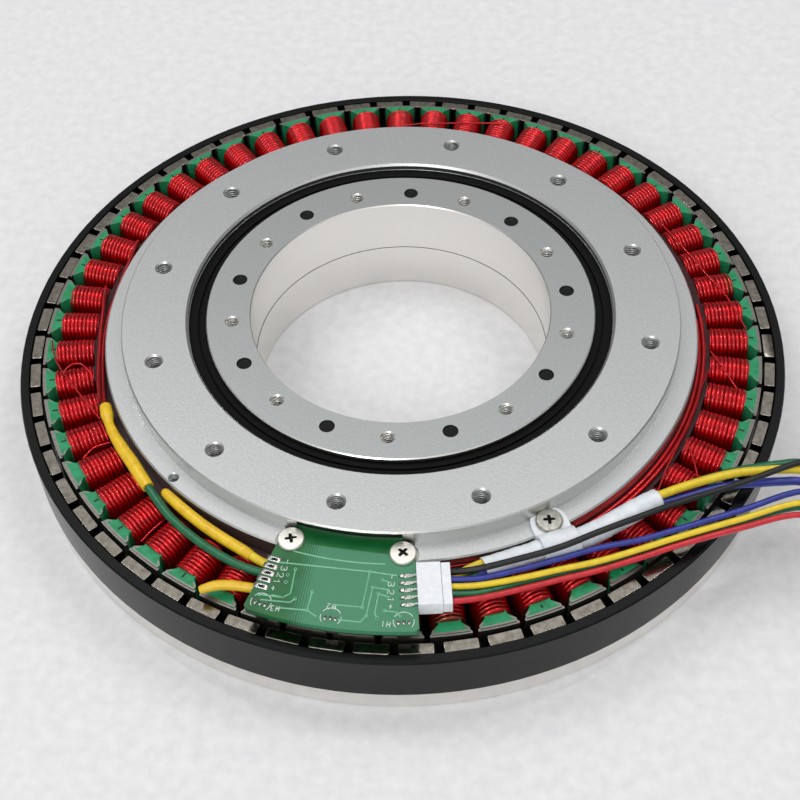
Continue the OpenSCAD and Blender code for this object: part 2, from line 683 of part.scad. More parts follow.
// Stator housing
// The board's seat in the ledge, a pocket in the disc for its tongue, and room for the screw heads
module board_pocket() {
    top_z = housing_top_z - pocket_roof;
    seat_in_r = disc_r - 0.3;
    relief_z = board_z - 0.1;
    head_room_z = ledge_z - 0.6;
    sector(board_angle, seat_span, seat_in_r, ledge_r + past, board_seat + past, board_z);
    sector(board_angle, 2 * board_screw_angle, pocket_in_r, disc_r + past, top_z - relief_z, relief_z);
    for (side = [-1, 1]) at_ledge_hole(board_angle + side * board_screw_angle, head_room_z)
        cylinder(r = screw_corner_r + 1, h = top_z - 0.3 - head_room_z, $fn = 48);
}

module stator_housing() {
    fit_r = core_in_r - press_gap;
    snap_groove_r = housing_bore_r + snap_depth;
    snap_groove_z = bearing_seat_z - snap_groove_t;
    lip_edge = 0.6;
    hole_deep = ledge_t - 0.5;
    color(aluminium) difference() {
        rotate_extrude() polygon([
            [housing_bore_r, barrel_z], [fit_r - edge, barrel_z], [fit_r, barrel_z + edge],
            [fit_r, core_top_z], [ledge_r, core_top_z], [ledge_r, ledge_z - edge],
            [ledge_r - edge, ledge_z], [disc_r, ledge_z], [disc_r, housing_top_z - edge],
            [disc_r - edge, housing_top_z], [lip_r + lip_edge, housing_top_z],
            [lip_r, housing_top_z - lip_edge], [lip_r, bearing_top_z],
            [housing_bore_r, bearing_top_z], [housing_bore_r, bearing_seat_z],
            [snap_groove_r, bearing_seat_z], [snap_groove_r, snap_groove_z],
            [housing_bore_r, snap_groove_z]]);
        spread(mount_count, mount_angle) translate([mount_pcd / 2, 0, housing_top_z])
            tapped_hole(mount_hole_d, mount_depth);
        at_ledge_hole(spare_angle, ledge_z) tapped_hole(small_screw_d, hole_deep);
        for (angle = [clip_angle, board_angle - board_screw_angle, board_angle + board_screw_angle])
            at_ledge_hole(angle, ledge_z - hole_deep)
                cylinder(d = small_screw_d, h = hole_deep + past, $fn = 32);
        board_pocket();
    }
}

// Wound core. One tooth's outline, from the slot floor over the tip and back.
function tooth_side(neck, neck_end, top, tip, side) = [
    [yoke_r - past, side * neck], [neck_end, side * neck], [top, side * tip],
    [core_r + past, side * tip]];

module teeth_2d(neck, neck_end, top, tip) {
    for (k = [0 : tooth_count - 1]) at_tooth(k)
        polygon(concat(tooth_side(neck, neck_end, top, tip, -1),
            [for (i = [3 : -1 : 0]) tooth_side(neck, neck_end, top, tip, 1)[i]]));
}

module stator_core() {
    color(steel) difference() {
        intersection() {
            translate([0, 0, core_bottom_z]) linear_extrude(stack_h) union() {
                circle(r = yoke_r);
                teeth_2d(neck_w / 2, neck_end_r, slope_top_r, tip_w / 2);
            }
            translate([0, 0, core_bottom_z - past]) cylinder(r = core_r, h = stack_h + 2 * past);
        }
        translate([0, 0, core_bottom_z - past]) cylinder(r = core_in_r, h = stack_h + 2 * past);
    }
}

// Epoxy coat: end faces and slot walls, ending short of the bare tips
module core_insulation() {
    inset = 0.5;
    slope = (tip_w - neck_w) / 2 / tip_slope;
    tip = tip_w / 2 - inset;
    neck = coated_neck_w / 2;
    back = coat_side * norm([1, slope]) / slope;
    top = neck_end_r - back + (tip - neck_w / 2) / slope;
    neck_end = top - (tip - neck) / slope;
    color(coat_green) difference() {
        intersection() {
            translate([0, 0, coat_bottom_z]) linear_extrude(coated_h) union() {
                circle(r = yoke_r + coat_side);
                teeth_2d(neck, neck_end, top, tip);
            }
            translate([0, 0, coat_bottom_z - past]) cylinder(r = core_r - inset, h = coated_h + 2 * past);
        }
        translate([0, 0, coat_bottom_z - past])
            cylinder(r = core_in_r + 0.5, h = coated_h / 2 + past);
        translate([0, 0, core_mid_z]) cylinder(r = ledge_r + 0.3, h = coated_h);
        stator_core();
    }
}

// Coils. Outline of the turns along the coil's own axis, a bevelled ridge for each turn.
module turns_2d() {
    root_r = coil_end_r - turn_depth;
    bevel = (turn_pitch - turn_flat) / 2;
    polygon(concat([[0, 0]],
        [for (i = [0 : coil_turns - 1]) let (start = i * turn_pitch) each [
            [root_r, start], [coil_end_r, start + bevel], [coil_end_r, start + bevel + turn_flat]]],
        [[root_r, coil_l], [0, coil_l]]));
}

module coil() {
    translate([coil_start_r, 0, core_mid_z]) rotate([90, 0, 90]) difference() {
        union() {
            for (end = [0, 1]) rotate([0, 0, 180 * end]) translate([0, coil_end_z, 0])
                rotate_extrude(angle = 180) turns_2d();
            rotate([90, 0, 0]) linear_extrude(2 * coil_end_z, center = true) {
                turns_2d();
                mirror([1, 0]) turns_2d();
            }
        }
        translate([-coated_neck_w / 2, -coated_h / 2, -past])
            cube([coated_neck_w, coated_h, coil_l + 2 * past]);
    }
}

module coil_phase(phase) {
    color(wire_red) for (k = [0 : tooth_count - 1])
        if (floor(k / 3) % 3 == phase) at_tooth(k) coil();
}

module coil_phase_u() { coil_phase(0); }
module coil_phase_v() { coil_phase(1); }
module coil_phase_w() { coil_phase(2); }

module wire(route, steps = 3) {
    tube(smooth(carried([for (p = route) polar(p)]), steps), wire_d / 2, 6);
}

module winding_bundle_left() {
    color(wire_red) {
        wire(left_wire_a);
        wire(left_wire_b);
    }
}

// Two wires that lie along the ledge and end under the white sleeve
module winding_bundle_right() {
    beside_r = ledge_r + wire_d / 2 + 0.2;
    lie_z = coat_top_z + wire_d / 2 + slip_gap;
    color(wire_red) for (lane = [0, 1]) rotate([0, 0, -60 + 4 * lane]) rotate_extrude(angle = 62)
        translate([beside_r + lane * (wire_d + shaft_gap), lie_z]) circle(d = wire_d, $fn = 24);
}

module winding_crossovers() {
    color(wire_red) for (route = crossover_wires) wire(route);
}

// Sensor board
module at_board_screw(side) {
    rotate(board_angle + side * board_screw_angle) translate([small_screw_r, 0]) children();
}

module board_2d() {
    corner = 1.2;
    difference() {
        union() {
            sector_2d(board_angle, board_span, small_screw_r, board_r_out);
            sector_2d(board_angle, 2 * board_screw_angle, board_r_in, small_screw_r + past);
            for (side = [-1, 1]) at_board_screw(side) circle(r = screw_corner_r, $fn = 48);
        }
        for (side = [-1, 1]) {
            rotate(board_angle + side * board_span / 2) translate([board_r_out, 0]) rotate(45)
                square(corner, center = true);
            at_board_screw(side) circle(d = small_screw_d + 2 * shaft_gap, $fn = 32);
        }
        for (i = [-1 : 1]) for (pin = [-1 : 1])
            rotate(board_angle + i * hall_step) translate([hall_r, pin * hall_pin_pitch])
                circle(r = 0.35, $fn = 16);
    }
}

module sensor_board() {
    color(board_green) translate([0, 0, board_z]) linear_extrude(board_t) board_2d();
}

// Cross-slotted screw with a low round head, standing on its seat at z
module small_screw(seat_z) {
    slot_l = 0.48 * small_head_d;
    slot_w = 0.9;
    point_z = ledge_z - ledge_t + 1;
    soft = 0.25;
    difference() {
        union() {
            translate([0, 0, seat_z]) rotate_extrude() polygon([
                [0, 0], [small_head_d / 2, 0], [small_head_d / 2, small_head_t - soft],
                [small_head_d / 2 - soft, small_head_t], [0, small_head_t]]);
            translate([0, 0, point_z])
                cylinder(d = small_screw_d - shaft_gap, h = seat_z - point_z + 0.5, $fn = 32);
        }
        for (turn = [0, 90]) translate([0, 0, seat_z + small_head_t]) rotate([0, 0, turn])
            cube([slot_l, slot_w, 1.4 * small_head_t], center = true);
    }
}

module board_screws() {
    color(nickel) for (side = [-1, 1])
        at_ledge_hole(board_angle + side * board_screw_angle, 0) small_screw(board_top_z);
}

module at_hall(i) {
    rotate([0, 0, board_angle + i * hall_step]) translate([hall_r, 0, 0]) children();
}

module hall_sensor(i) {
    body_z = coat_top_z + 0.15;
    bevel = hall_t / 3;
    pin_w = 0.42;
    at_hall(i) {
        color("#1a1a1c") translate([0, 0, body_z]) linear_extrude(hall_h) polygon([
            [-hall_t / 2, -hall_w / 2], [hall_t / 2 - bevel, -hall_w / 2],
            [hall_t / 2, bevel - hall_w / 2], [hall_t / 2, hall_w / 2 - bevel],
            [hall_t / 2 - bevel, hall_w / 2], [-hall_t / 2, hall_w / 2]]);
        color(nickel) for (pin = [-1 : 1])
            translate([-pin_w / 2, pin * hall_pin_pitch - pin_w / 2, body_z + hall_h])
                cube([pin_w, pin_w, board_top_z + 0.6 - body_z - hall_h]);
    }
}

module hall_sensor_1() { hall_sensor(-1); }
module hall_sensor_2() { hall_sensor(0); }
module hall_sensor_3() { hall_sensor(1); }

// Connector at the board's edge: x is the radius, y runs away from the board
function way_x(i) = (i - (ways - 1) / 2) * way_pitch;

module board_connector() {
    hole = header_pin_w + shaft_gap;
    color(plastic_white) at_board_edge() difference() {
        translate([-header_w / 2, slip_gap, 0]) cube([header_w, header_l - slip_gap, header_h]);
        translate([-header_cavity_w / 2, header_back, header_wall])
            cube([header_cavity_w, header_l, header_cavity_h]);
        for (i = [0 : ways - 1]) translate([way_x(i) - hole / 2, -past, board_t])
            cube([hole, header_back + 2 * past, hole]);
    }
}

module header_pins() {
    color(nickel) at_board_edge() for (i = [0 : ways - 1])
        translate([way_x(i) - header_pin_w / 2, -header_pin_out, board_t])
            cube([header_pin_w, header_pin_out + header_pin_in, header_pin_w]);
}

module connector_plug() {
    back = header_back + shaft_gap;
    hole = header_pin_w + 2 * shaft_gap;
    color(plastic_white) at_board_edge() difference() {
        union() {
            translate([-plug_w / 2, back, header_h / 2 - plug_h / 2])
                cube([plug_w, header_l - back + past / 2, plug_h]);
            translate([-plug_flange_w / 2, header_l + slip_gap, header_h / 2 - plug_flange_h / 2])
                cube([plug_flange_w, plug_out - slip_gap, plug_flange_h]);
        }
        for (i = [0 : ways - 1])
            translate([way_x(i) - hole / 2, back - past, board_t - shaft_gap])
                cube([hole, header_pin_in - header_back + 2 * past, hole]);
    }
}

// Clip and sleeve
module at_clip() {
    rotate([0, 0, clip_angle]) translate([small_screw_r, 0, 0])
        rotate([0, 0, clip_turn - clip_angle]) children();
}

module cable_clip() {
    strap_t = 0.8;
    strap_in_r = sleeve_d / 2 + shaft_gap;
    strap_r = strap_in_r + strap_t;
    lowest_z = coil_top_z + 0.25;
    color(plastic_white) difference() {
        at_clip() difference() {
            union() {
                translate([0, 0, ledge_z]) cylinder(r = clip_foot_r, h = clip_t);
                translate([-clip_w / 2, -clip_reach + strap_in_r, ledge_z])
                    cube([clip_w, clip_reach - strap_in_r, clip_t]);
                translate([-clip_w / 2, -clip_reach, sleeve_z]) rotate([0, 90, 0])
                    cylinder(r = strap_r, h = clip_w);
            }
            translate([0, 0, ledge_z - past])
                cylinder(d = small_screw_d + 2 * shaft_gap, h = clip_t + 2 * past, $fn = 32);
            translate([-clip_w, -clip_reach, sleeve_z]) rotate([0, 90, 0])
                cylinder(r = strap_in_r, h = 2 * clip_w);
            translate([-clip_w, -clip_reach - 2 * strap_r, lowest_z - 2 * strap_r])
                cube([2 * clip_w, 4 * strap_r, 2 * strap_r]);
        }
        cylinder(r = disc_r + slip_gap, h = 2 * housing_top_z);
    }
}

module clip_screw() {
    color(steel) at_ledge_hole(clip_angle, 0) small_screw(ledge_z + clip_t);
}

// Places of the three motor leads round the middle of the white sleeve
bundle_r = lead_r / sin(60) + 0.03;
sleeve_z = coil_top_z + sleeve_d / 2 + shaft_gap;
sleeve_steps = smooth([for (p = carried(sleeve_route)) [p[0], p[1], sleeve_z]], 2);
bundle_twist = -60;

function strand(first) = let (last = len(sleeve_steps) - 1) [for (i = [0 : last])
    let (t = heading(sleeve_steps, i), n = across(t), a = first + bundle_twist * i / last)
        sleeve_steps[i] + bundle_r * (sin(a) * cross(t, n) - cos(a) * n)];
function end_of(path) = path[len(path) - 1];

module lead_sleeve() {
    color(plastic_white) hollow_tube(sleeve_steps, sleeve_d / 2, sleeve_d / 2 - 0.25);
}

module joint_sleeve_1() {
    color(lead_yellow) tube(carried(joint_1_route), joint_1_radii, 12);
}

module joint_sleeve_2() {
    color(lead_yellow) tube(carried(joint_2_route), joint_2_radii, 12);
}

module joint_sleeve_3() {
    color(lead_yellow) tube(carried(joint_3_route), joint_3_radii, 12);
}

yellow_strand = strand(150);
green_strand = strand(270);
blue_strand = strand(30);

module inner_lead(shade, route, strand_path) {
    color(shade) tube(concat(smooth(concat(carried(route), [strand_path[0]]), 2),
        [for (i = [1 : len(strand_path) - 1]) strand_path[i]]), lead_r);
}

module inner_lead_green() { inner_lead(lead_green, green_inner_route, green_strand); }
module inner_lead_yellow() { inner_lead(lead_yellow, yellow_inner_route, yellow_strand); }
module inner_lead_blue() { inner_lead(lead_blue, blue_inner_route, blue_strand); }

module phase_lead(shade, strand_path, tail) {
    color(shade) tube(smooth(concat([end_of(strand_path)], tail), 2), lead_r);
}

module phase_lead_green() { phase_lead(lead_green, green_strand, phase_green_tail); }
module phase_lead_yellow() { phase_lead(lead_yellow, yellow_strand, phase_yellow_tail); }
module phase_lead_blue() { phase_lead(lead_blue, blue_strand, phase_blue_tail); }

// Sensor leads leave the plug's outer face, one from each way
function plug_exit(i) = let (x = header_r + way_x(i), y = header_l + plug_out)
    [x * cos(board_edge_angle) - y * sin(board_edge_angle),
     x * sin(board_edge_angle) + y * cos(board_edge_angle), header_mid_z];

module sensor_lead(shade, i, tail) {
    color(shade) tube(smooth(concat([plug_exit(i)], tail), 3), sensor_lead_d / 2);
}

module sensor_lead_black() { sensor_lead(lead_black, 0, black_tail); }
module sensor_lead_blue() { sensor_lead(lead_blue, 1, blue_tail); }
module sensor_lead_yellow() { sensor_lead(lead_yellow, 2, yellow_tail); }
module sensor_lead_green() { sensor_lead(lead_green, 3, green_tail); }
module sensor_lead_red() { sensor_lead(lead_red, 4, red_tail); }

rotor_base_plate();
rotor_back_iron_ring();
magnets_north();
magnets_south();
hub_ring();
hub_screws();
bearing_inner_race();
bearing_balls();
bearing_cage();
bearing_outer_race();
bearing_seal_top();
bearing_seal_bottom();
bearing_snap_ring();
stator_housing();
stator_core();
core_insulation();
coil_phase_u();
coil_phase_v();
coil_phase_w();
winding_bundle_left();
winding_bundle_right();
winding_crossovers();
sensor_board();
board_screws();
hall_sensor_1();
hall_sensor_2();
hall_sensor_3();
board_connector();
header_pins();
connector_plug();
cable_clip();
clip_screw();
lead_sleeve();
joint_sleeve_1();
joint_sleeve_2();
joint_sleeve_3();
inner_lead_green();
inner_lead_yellow();
inner_lead_blue();
phase_lead_green();
phase_lead_yellow();
phase_lead_blue();
sensor_lead_black();
sensor_lead_blue();
sensor_lead_yellow();
sensor_lead_green();
sensor_lead_red();
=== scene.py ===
# %% [markdown]
# This notebook dresses a hollow torque motor for its portrait. The motor is a ring: 54 wound teeth
# stand round an aluminium housing, 60 magnets line a black ring outside them, and a thin bearing
# lets the ring and the hub in the middle turn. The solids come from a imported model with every
# piece at its real place, so the work here is finish, wire and small detail.
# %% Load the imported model
import math
import random

import bmesh
import bpy
from mathutils import Matrix, Vector, noise


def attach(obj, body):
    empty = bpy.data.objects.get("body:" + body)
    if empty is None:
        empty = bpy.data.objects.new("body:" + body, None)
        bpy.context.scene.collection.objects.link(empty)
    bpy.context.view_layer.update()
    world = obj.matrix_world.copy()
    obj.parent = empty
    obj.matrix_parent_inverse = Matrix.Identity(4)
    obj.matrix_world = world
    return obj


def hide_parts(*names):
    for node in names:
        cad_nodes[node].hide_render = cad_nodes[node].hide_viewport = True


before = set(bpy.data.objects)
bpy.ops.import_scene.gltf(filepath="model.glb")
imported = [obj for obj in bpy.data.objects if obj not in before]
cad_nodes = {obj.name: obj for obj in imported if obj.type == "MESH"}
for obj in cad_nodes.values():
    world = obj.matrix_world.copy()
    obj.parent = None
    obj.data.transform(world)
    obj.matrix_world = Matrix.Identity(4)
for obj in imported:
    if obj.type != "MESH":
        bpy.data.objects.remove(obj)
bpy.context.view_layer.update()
scene = bpy.context.scene
MM = 0.001
print("solids in the packed model:", len(cad_nodes))


def placed(name, data):
    thing = bpy.data.objects.new(name, data)
    scene.collection.objects.link(thing)
    return thing


def turned_by(degrees, x, y, z):
    around = math.radians(degrees)
    return Vector((x * math.cos(around) - y * math.sin(around),
                   x * math.sin(around) + y * math.cos(around), z))


def polar(degrees, radius_mm, height_mm):
    return turned_by(degrees, radius_mm, 0, height_mm)


# %% [markdown]
# A photograph fixes the camera: where it stood, which way it looked and how long its lens was.
# These values were solved from the circles and hole patterns of the motor, so the render can be
# laid over the photograph. The sensor is 36 mm wide, and the lens follows from the focal length in
# pixels.
# %% Camera
CAMERA_PLACE = Vector((12.886, -279.749, 321.688)) * MM
CAMERA_BACK = Vector((0.031927, -0.645954, 0.762708))
CAMERA_AZIMUTH = math.radians(2.83)
CAMERA_ROLL = math.radians(-1.91)
FOCAL_PIXELS = 1432.3
PHOTO_PIXELS = 800
SENSOR_MM = 36

level_right = Vector((math.cos(CAMERA_AZIMUTH), math.sin(CAMERA_AZIMUTH), 0))
level_up = CAMERA_BACK.cross(level_right)
camera_right = math.cos(CAMERA_ROLL) * level_right + math.sin(CAMERA_ROLL) * level_up
camera_up = -math.sin(CAMERA_ROLL) * level_right + math.cos(CAMERA_ROLL) * level_up

camera_data = bpy.data.cameras.new("portrait_camera")
camera_data.sensor_width = SENSOR_MM
camera_data.lens = FOCAL_PIXELS / PHOTO_PIXELS * SENSOR_MM
camera_data.clip_start = 0.01
camera_data.clip_end = 20
camera = placed("portrait_camera", camera_data)
facing = Matrix((camera_right, camera_up, CAMERA_BACK)).transposed().to_4x4()
camera.matrix_world = Matrix.Translation(CAMERA_PLACE) @ facing
scene.camera = camera
print("lens in mm:", round(camera_data.lens, 2))

# %% [markdown]
# Every finish is built from shader nodes, and a few helpers keep that short. One adds a node with
# its settings: a socket or a node given as a value is linked, and a hex text is a colour as a
# colour picker shows it, which is turned to the linear values that shaders use. Patterns read
# Object coordinates, which are metres here, so a pattern's scale is one over its real size.
# %% Helpers for finishes
def colour(hex_text):
    parts = [int(hex_text[i:i + 2], 16) / 255 for i in (1, 3, 5)]
    linear = [c / 12.92 if c <= 0.04045 else ((c + 0.055) / 1.055) ** 2.4 for c in parts]
    return (*linear, 1.0)


def add(tree, kind, values=None, **settings):
    node = tree.nodes.new(kind)
    for name, value in settings.items():
        setattr(node, name, value)
    for socket, value in (values or {}).items():
        if isinstance(value, bpy.types.Node):
            value = value.outputs[0]
        if isinstance(value, bpy.types.NodeSocket):
            tree.links.new(value, node.inputs[socket])
        else:
            node.inputs[socket].default_value = colour(value) if isinstance(value, str) else value
    return node


def calc(tree, operation, *values, **settings):
    node = add(tree, "ShaderNodeMath", dict(enumerate(values)), operation=operation, **settings)
    return node.outputs[0]


def ramp(tree, value, start, end, low=0.0, high=1.0):
    values = {0: value, 1: start, 2: end, 3: low, 4: high}
    return add(tree, "ShaderNodeMapRange", values).outputs[0]


def blend(tree, share, first, second):
    values = {0: share, 6: first, 7: second}
    return add(tree, "ShaderNodeMix", values, data_type="RGBA").outputs[2]


def per(size_mm):
    return 1 / (size_mm * MM)


def grain(tree, place, size_mm, detail=2):
    values = {"Vector": place, "Scale": per(size_mm), "Detail": detail}
    return add(tree, "ShaderNodeTexNoise", values).outputs[0]


def from_axis(tree, place):
    x, y, z = add(tree, "ShaderNodeSeparateXYZ", {0: place}).outputs
    flat = add(tree, "ShaderNodeCombineXYZ", {0: x, 1: y})
    radius = add(tree, "ShaderNodeVectorMath", {0: flat}, operation="LENGTH").outputs["Value"]
    return radius, calc(tree, "ARCTAN2", y, x), z


def turning_marks(tree, place, pitch_mm):
    radius, _, height = from_axis(tree, place)
    return grain(tree, add(tree, "ShaderNodeCombineXYZ", {0: radius, 1: height}), pitch_mm)


def start_finish(name, **shader_values):
    material = bpy.data.materials.new(name)
    material.use_nodes = True
    tree = material.node_tree
    tree.nodes.clear()
    values = {label.replace("_", " "): value for label, value in shader_values.items()}
    shader = add(tree, "ShaderNodeBsdfPrincipled", values)
    add(tree, "ShaderNodeOutputMaterial", {0: shader})
    return material, tree, shader, add(tree, "ShaderNodeTexCoord").outputs["Object"]


def mottle(tree, shader, place, light, dark, size_mm, detail=3):
    mixed = blend(tree, ramp(tree, grain(tree, place, size_mm, detail), 0.3, 0.7), light, dark)
    tree.links.new(mixed, shader.inputs["Base Color"])
    return mixed


def relief(tree, shader, height, depth_mm, strength=1.0):
    values = {"Height": height, "Distance": depth_mm * MM, "Strength": strength}
    tree.links.new(add(tree, "ShaderNodeBump", values).outputs[0], shader.inputs["Normal"])


def finish_of(name, light, dark, size_mm, pattern, pattern_mm, depth_mm, detail=3, **shader_values):
    material, tree, shader, place = start_finish(name, **shader_values)
    mottle(tree, shader, place, light, dark, size_mm, detail)
    relief(tree, shader, pattern(tree, place, pattern_mm), depth_mm)
    return material


# %% [markdown]
# Bead-blasted aluminium, clear anodised. Glass beads leave a silky grain that breaks reflections
# up, so the flats look even and pale grey. The walls and chamfers are turned after blasting, so
# they are smoother and have a tone of their own. The tilt of the true normal tells them from the
# flats.
# %% Aluminium
LEANS, LEVEL = 0.9, 0.99
FLAT_ROUGHNESS = 0.42


def aluminium(name, flat, shade, wall, side_roughness):
    material, tree, shader, place = start_finish(name, Metallic=1.0)
    blasted = mottle(tree, shader, place, flat, shade, 0.7)
    normal = add(tree, "ShaderNodeNewGeometry").outputs["True Normal"]
    lean = add(tree, "ShaderNodeSeparateXYZ", {0: normal}).outputs[2]
    upright = calc(tree, "ABSOLUTE", lean)
    roughness = ramp(tree, upright, LEANS, LEVEL, side_roughness, FLAT_ROUGHNESS)
    tree.links.new(roughness, shader.inputs["Roughness"])
    tone = blend(tree, ramp(tree, upright, LEANS, LEVEL), wall, blasted)
    tree.links.new(tone, shader.inputs["Base Color"])
    values = {0: upright, 2: turning_marks(tree, place, 0.5), 3: grain(tree, place, 0.45)}
    relief(tree, shader, add(tree, "ShaderNodeMix", values, data_type="FLOAT"), 0.04)
    return material


housing_aluminium = aluminium("housing_aluminium", "#d0d1d1", "#c5c6c7", "#cbccca", 0.34)
rotor_aluminium = aluminium("rotor_aluminium", "#bec0c0", "#b5b7b7", "#eceae6", 0.26)

# %% [markdown]
# The back-iron ring is turned steel with a satin black coat over faint circular tool marks. Nickel
# plate on the magnets is a little warm and never quite flat: the pressed block shows through as a
# fine orange peel, with a few darker handling marks.
# %% Black coats, nickel plate and screws
back_iron = finish_of(
    "back_iron", "#0d0e10", "#08090a", 3.0, turning_marks, 0.4, 0.008,
    Roughness=0.24, Specular_IOR_Level=0.2)
black_fastener = finish_of(
    "black_fastener", "#101113", "#070708", 0.6, grain, 0.3, 0.02,
    Roughness=0.5, Specular_IOR_Level=0.2)
magnet_nickel = finish_of(
    "magnet_nickel", "#a09a90", "#79736a", 1.8, grain, 0.9, 0.02, detail=5,
    Metallic=1.0, Roughness=0.16)
bright_screw = finish_of(
    "bright_screw", "#f4f1e9", "#e6e2d8", 1.2, grain, 0.5, 0.01, Metallic=1.0, Roughness=0.44)
dull_screw = finish_of(
    "dull_screw", "#c3c1b9", "#a19f97", 0.9, grain, 0.4, 0.02, Metallic=1.0, Roughness=0.42)

# %% [markdown]
# Bearing rings are ground steel: grey, bright and finely lined round the axis. The cage is a black
# moulded crown, and the seals are nitrile rubber over a steel washer, matt black with a soft
# sheen.
# %% Bearing steel, cage and seals
bearing_steel = finish_of(
    "bearing_steel", "#c6c8cb", "#b2b4b8", 2.5, turning_marks, 0.3, 0.006,
    Metallic=1.0, Roughness=0.22)
cage_polymer = finish_of(
    "cage_polymer", "#3b3d3f", "#303234", 1.5, grain, 0.6, 0.02, Roughness=0.5)
seal_rubber = finish_of(
    "seal_rubber", "#0b0b0d", "#060607", 2.0, grain, 0.5, 0.02,
    Roughness=0.6, Specular_IOR_Level=0.12)

# %% [markdown]
# Epoxy powder flows into a glossy green skin with a soft orange peel, over the core's top and down
# the walls of its slots. It is wiped off the rim of each tooth's tip, where grey steel shows.
# Round the coils the coat is painted dark red: painted shade between and under the coils, with a
# painted red reflection of the wire. Most teeth carry a short dark tick, left by the fixture that
# held the core in the powder bath. All three are drawn by radius and by the angle round the axis,
# folded to one tooth: the distance to the tip's own outline tells how wide the bare rim is.
# %% Epoxy powder coat
TOOTH_COUNT = 54
TOOTH_STEP = 2 * math.pi / TOOTH_COUNT
FIRST_TOOTH = math.radians(4.9)
TICK_RADIUS = 98.9 * MM
TICK_LENGTH = 0.75 * MM
TICK_WIDTH = 0.28 * MM
TICK_PATCH_MM = 14.0
TICKS_FROM = 0.47
NECK_HALF = 2.45 * MM
NECK_END = 98.4 * MM
TIP_SLOPE = 1.125
RIM_WIDTH = 0.42 * MM
RIM_FROM = 99.3 * MM
TIP_BARE_FROM = 100.5 * MM
COIL_SHADE_TO = 97.3 * MM

insulating_coat, tree, shader, place = start_finish(
    "insulating_coat", Roughness=0.36, Specular_IOR_Level=0.35)
green = mottle(tree, shader, place, "#2a9a68", "#1f7f50", 2.2)
radius, angle, _ = from_axis(tree, place)
folded = calc(tree, "PINGPONG", calc(tree, "SUBTRACT", angle, FIRST_TOOTH), TOOTH_STEP / 2)
sideways = calc(tree, "MULTIPLY", folded, radius)
beside = calc(tree, "LESS_THAN", sideways, TICK_WIDTH)
away = calc(tree, "COMPARE", radius, TICK_RADIUS, TICK_LENGTH)
patchy = calc(tree, "GREATER_THAN", grain(tree, place, TICK_PATCH_MM), TICKS_FROM)
tick = calc(tree, "MULTIPLY", calc(tree, "MULTIPLY", beside, away), patchy)
marked = blend(tree, tick, green, "#0f2a1f")
half_tip = calc(tree, "MULTIPLY_ADD", radius, TIP_SLOPE, NECK_HALF - TIP_SLOPE * NECK_END)
near_side = calc(tree, "LESS_THAN", calc(tree, "SUBTRACT", half_tip, sideways), RIM_WIDTH)
in_head = calc(tree, "GREATER_THAN", radius, RIM_FROM)
normal = add(tree, "ShaderNodeTexCoord").outputs["Normal"]
upward = add(tree, "ShaderNodeSeparateXYZ", {0: normal}).outputs[2]
top_head = calc(tree, "MULTIPLY", in_head, calc(tree, "GREATER_THAN", upward, 0.3))
side_rim = calc(tree, "MULTIPLY", near_side, top_head)
bare = calc(tree, "MAXIMUM", side_rim, calc(tree, "GREATER_THAN", radius, TIP_BARE_FROM))
rimmed = blend(tree, bare, marked, "#8c8a85")
# Painted shade: inside this radius the coat is dark red, for the shade between and under the coils
# and the red light they throw.
painted_coil_shade = blend(tree, calc(tree, "LESS_THAN", radius, COIL_SHADE_TO), rimmed, "#330a0d")
tree.links.new(painted_coil_shade, shader.inputs["Base Color"])
tree.links.new(bare, shader.inputs["Metallic"])
relief(tree, shader, grain(tree, place, 1.4), 0.05)

# %% [markdown]
# Winding wire is copper under a clear red enamel. The metal gives a bright, coloured highlight and
# the enamel a sharp white one on top, so the finish is a red metal with a glossy coat. A few outer
# turns are coloured brown, where the noise beyond 95 mm radius lets it through.
# %% Enamelled copper
BROWN_FROM = 95.2 * MM
BROWN_FULL = 96.6 * MM
BROWN_PATCH_MM = 26.0
enamelled_copper, tree, shader, place = start_finish(
    "enamelled_copper", Metallic=0.8, Roughness=0.2, Coat_Weight=0.6, Coat_Roughness=0.05)
red = mottle(tree, shader, place, "#d8101c", "#b40712", 4.0)
outer = ramp(tree, from_axis(tree, place)[0], BROWN_FROM, BROWN_FULL)
brown_patches = ramp(tree, grain(tree, place, BROWN_PATCH_MM), 0.58, 0.66)
wire_colour = blend(tree, calc(tree, "MULTIPLY", outer, brown_patches), red, "#8a3a24")
tree.links.new(wire_colour, shader.inputs["Base Color"])
relief(tree, shader, grain(tree, place, 2.0), 0.01)

# %% [markdown]
# The sensor board is glass-epoxy laminate under green solder mask. The mask is glossy, and the
# wide copper pour beneath it shows as a paler green, hatched towards its left end; that paler green
# is partly the pour and partly a painted reflection of the bright sky. The board's own two
# directions are dot products with the place, so the pour follows the board however it is turned.
# %% Circuit board
BOARD_ANGLE = -98.2
POUR_FROM = -11.6 * MM
POUR_FULL = -5.8 * MM
POUR_TOP = 80.4 * MM
POUR_EDGE = 0.2 * MM
HATCH_MM = 0.62
circuit_board, tree, shader, place = start_finish(
    "circuit_board", Roughness=0.3, Coat_Weight=0.25, Coat_Roughness=0.1)
mask_green = mottle(tree, shader, place, "#0a6730", "#075726", 3.0)
out, right = [
    add(tree, "ShaderNodeVectorMath", {0: place, 1: turned_by(BOARD_ANGLE, x, y, 0)},
        operation="DOT_PRODUCT").outputs["Value"] for x, y in ((1, 0), (0, 1))]
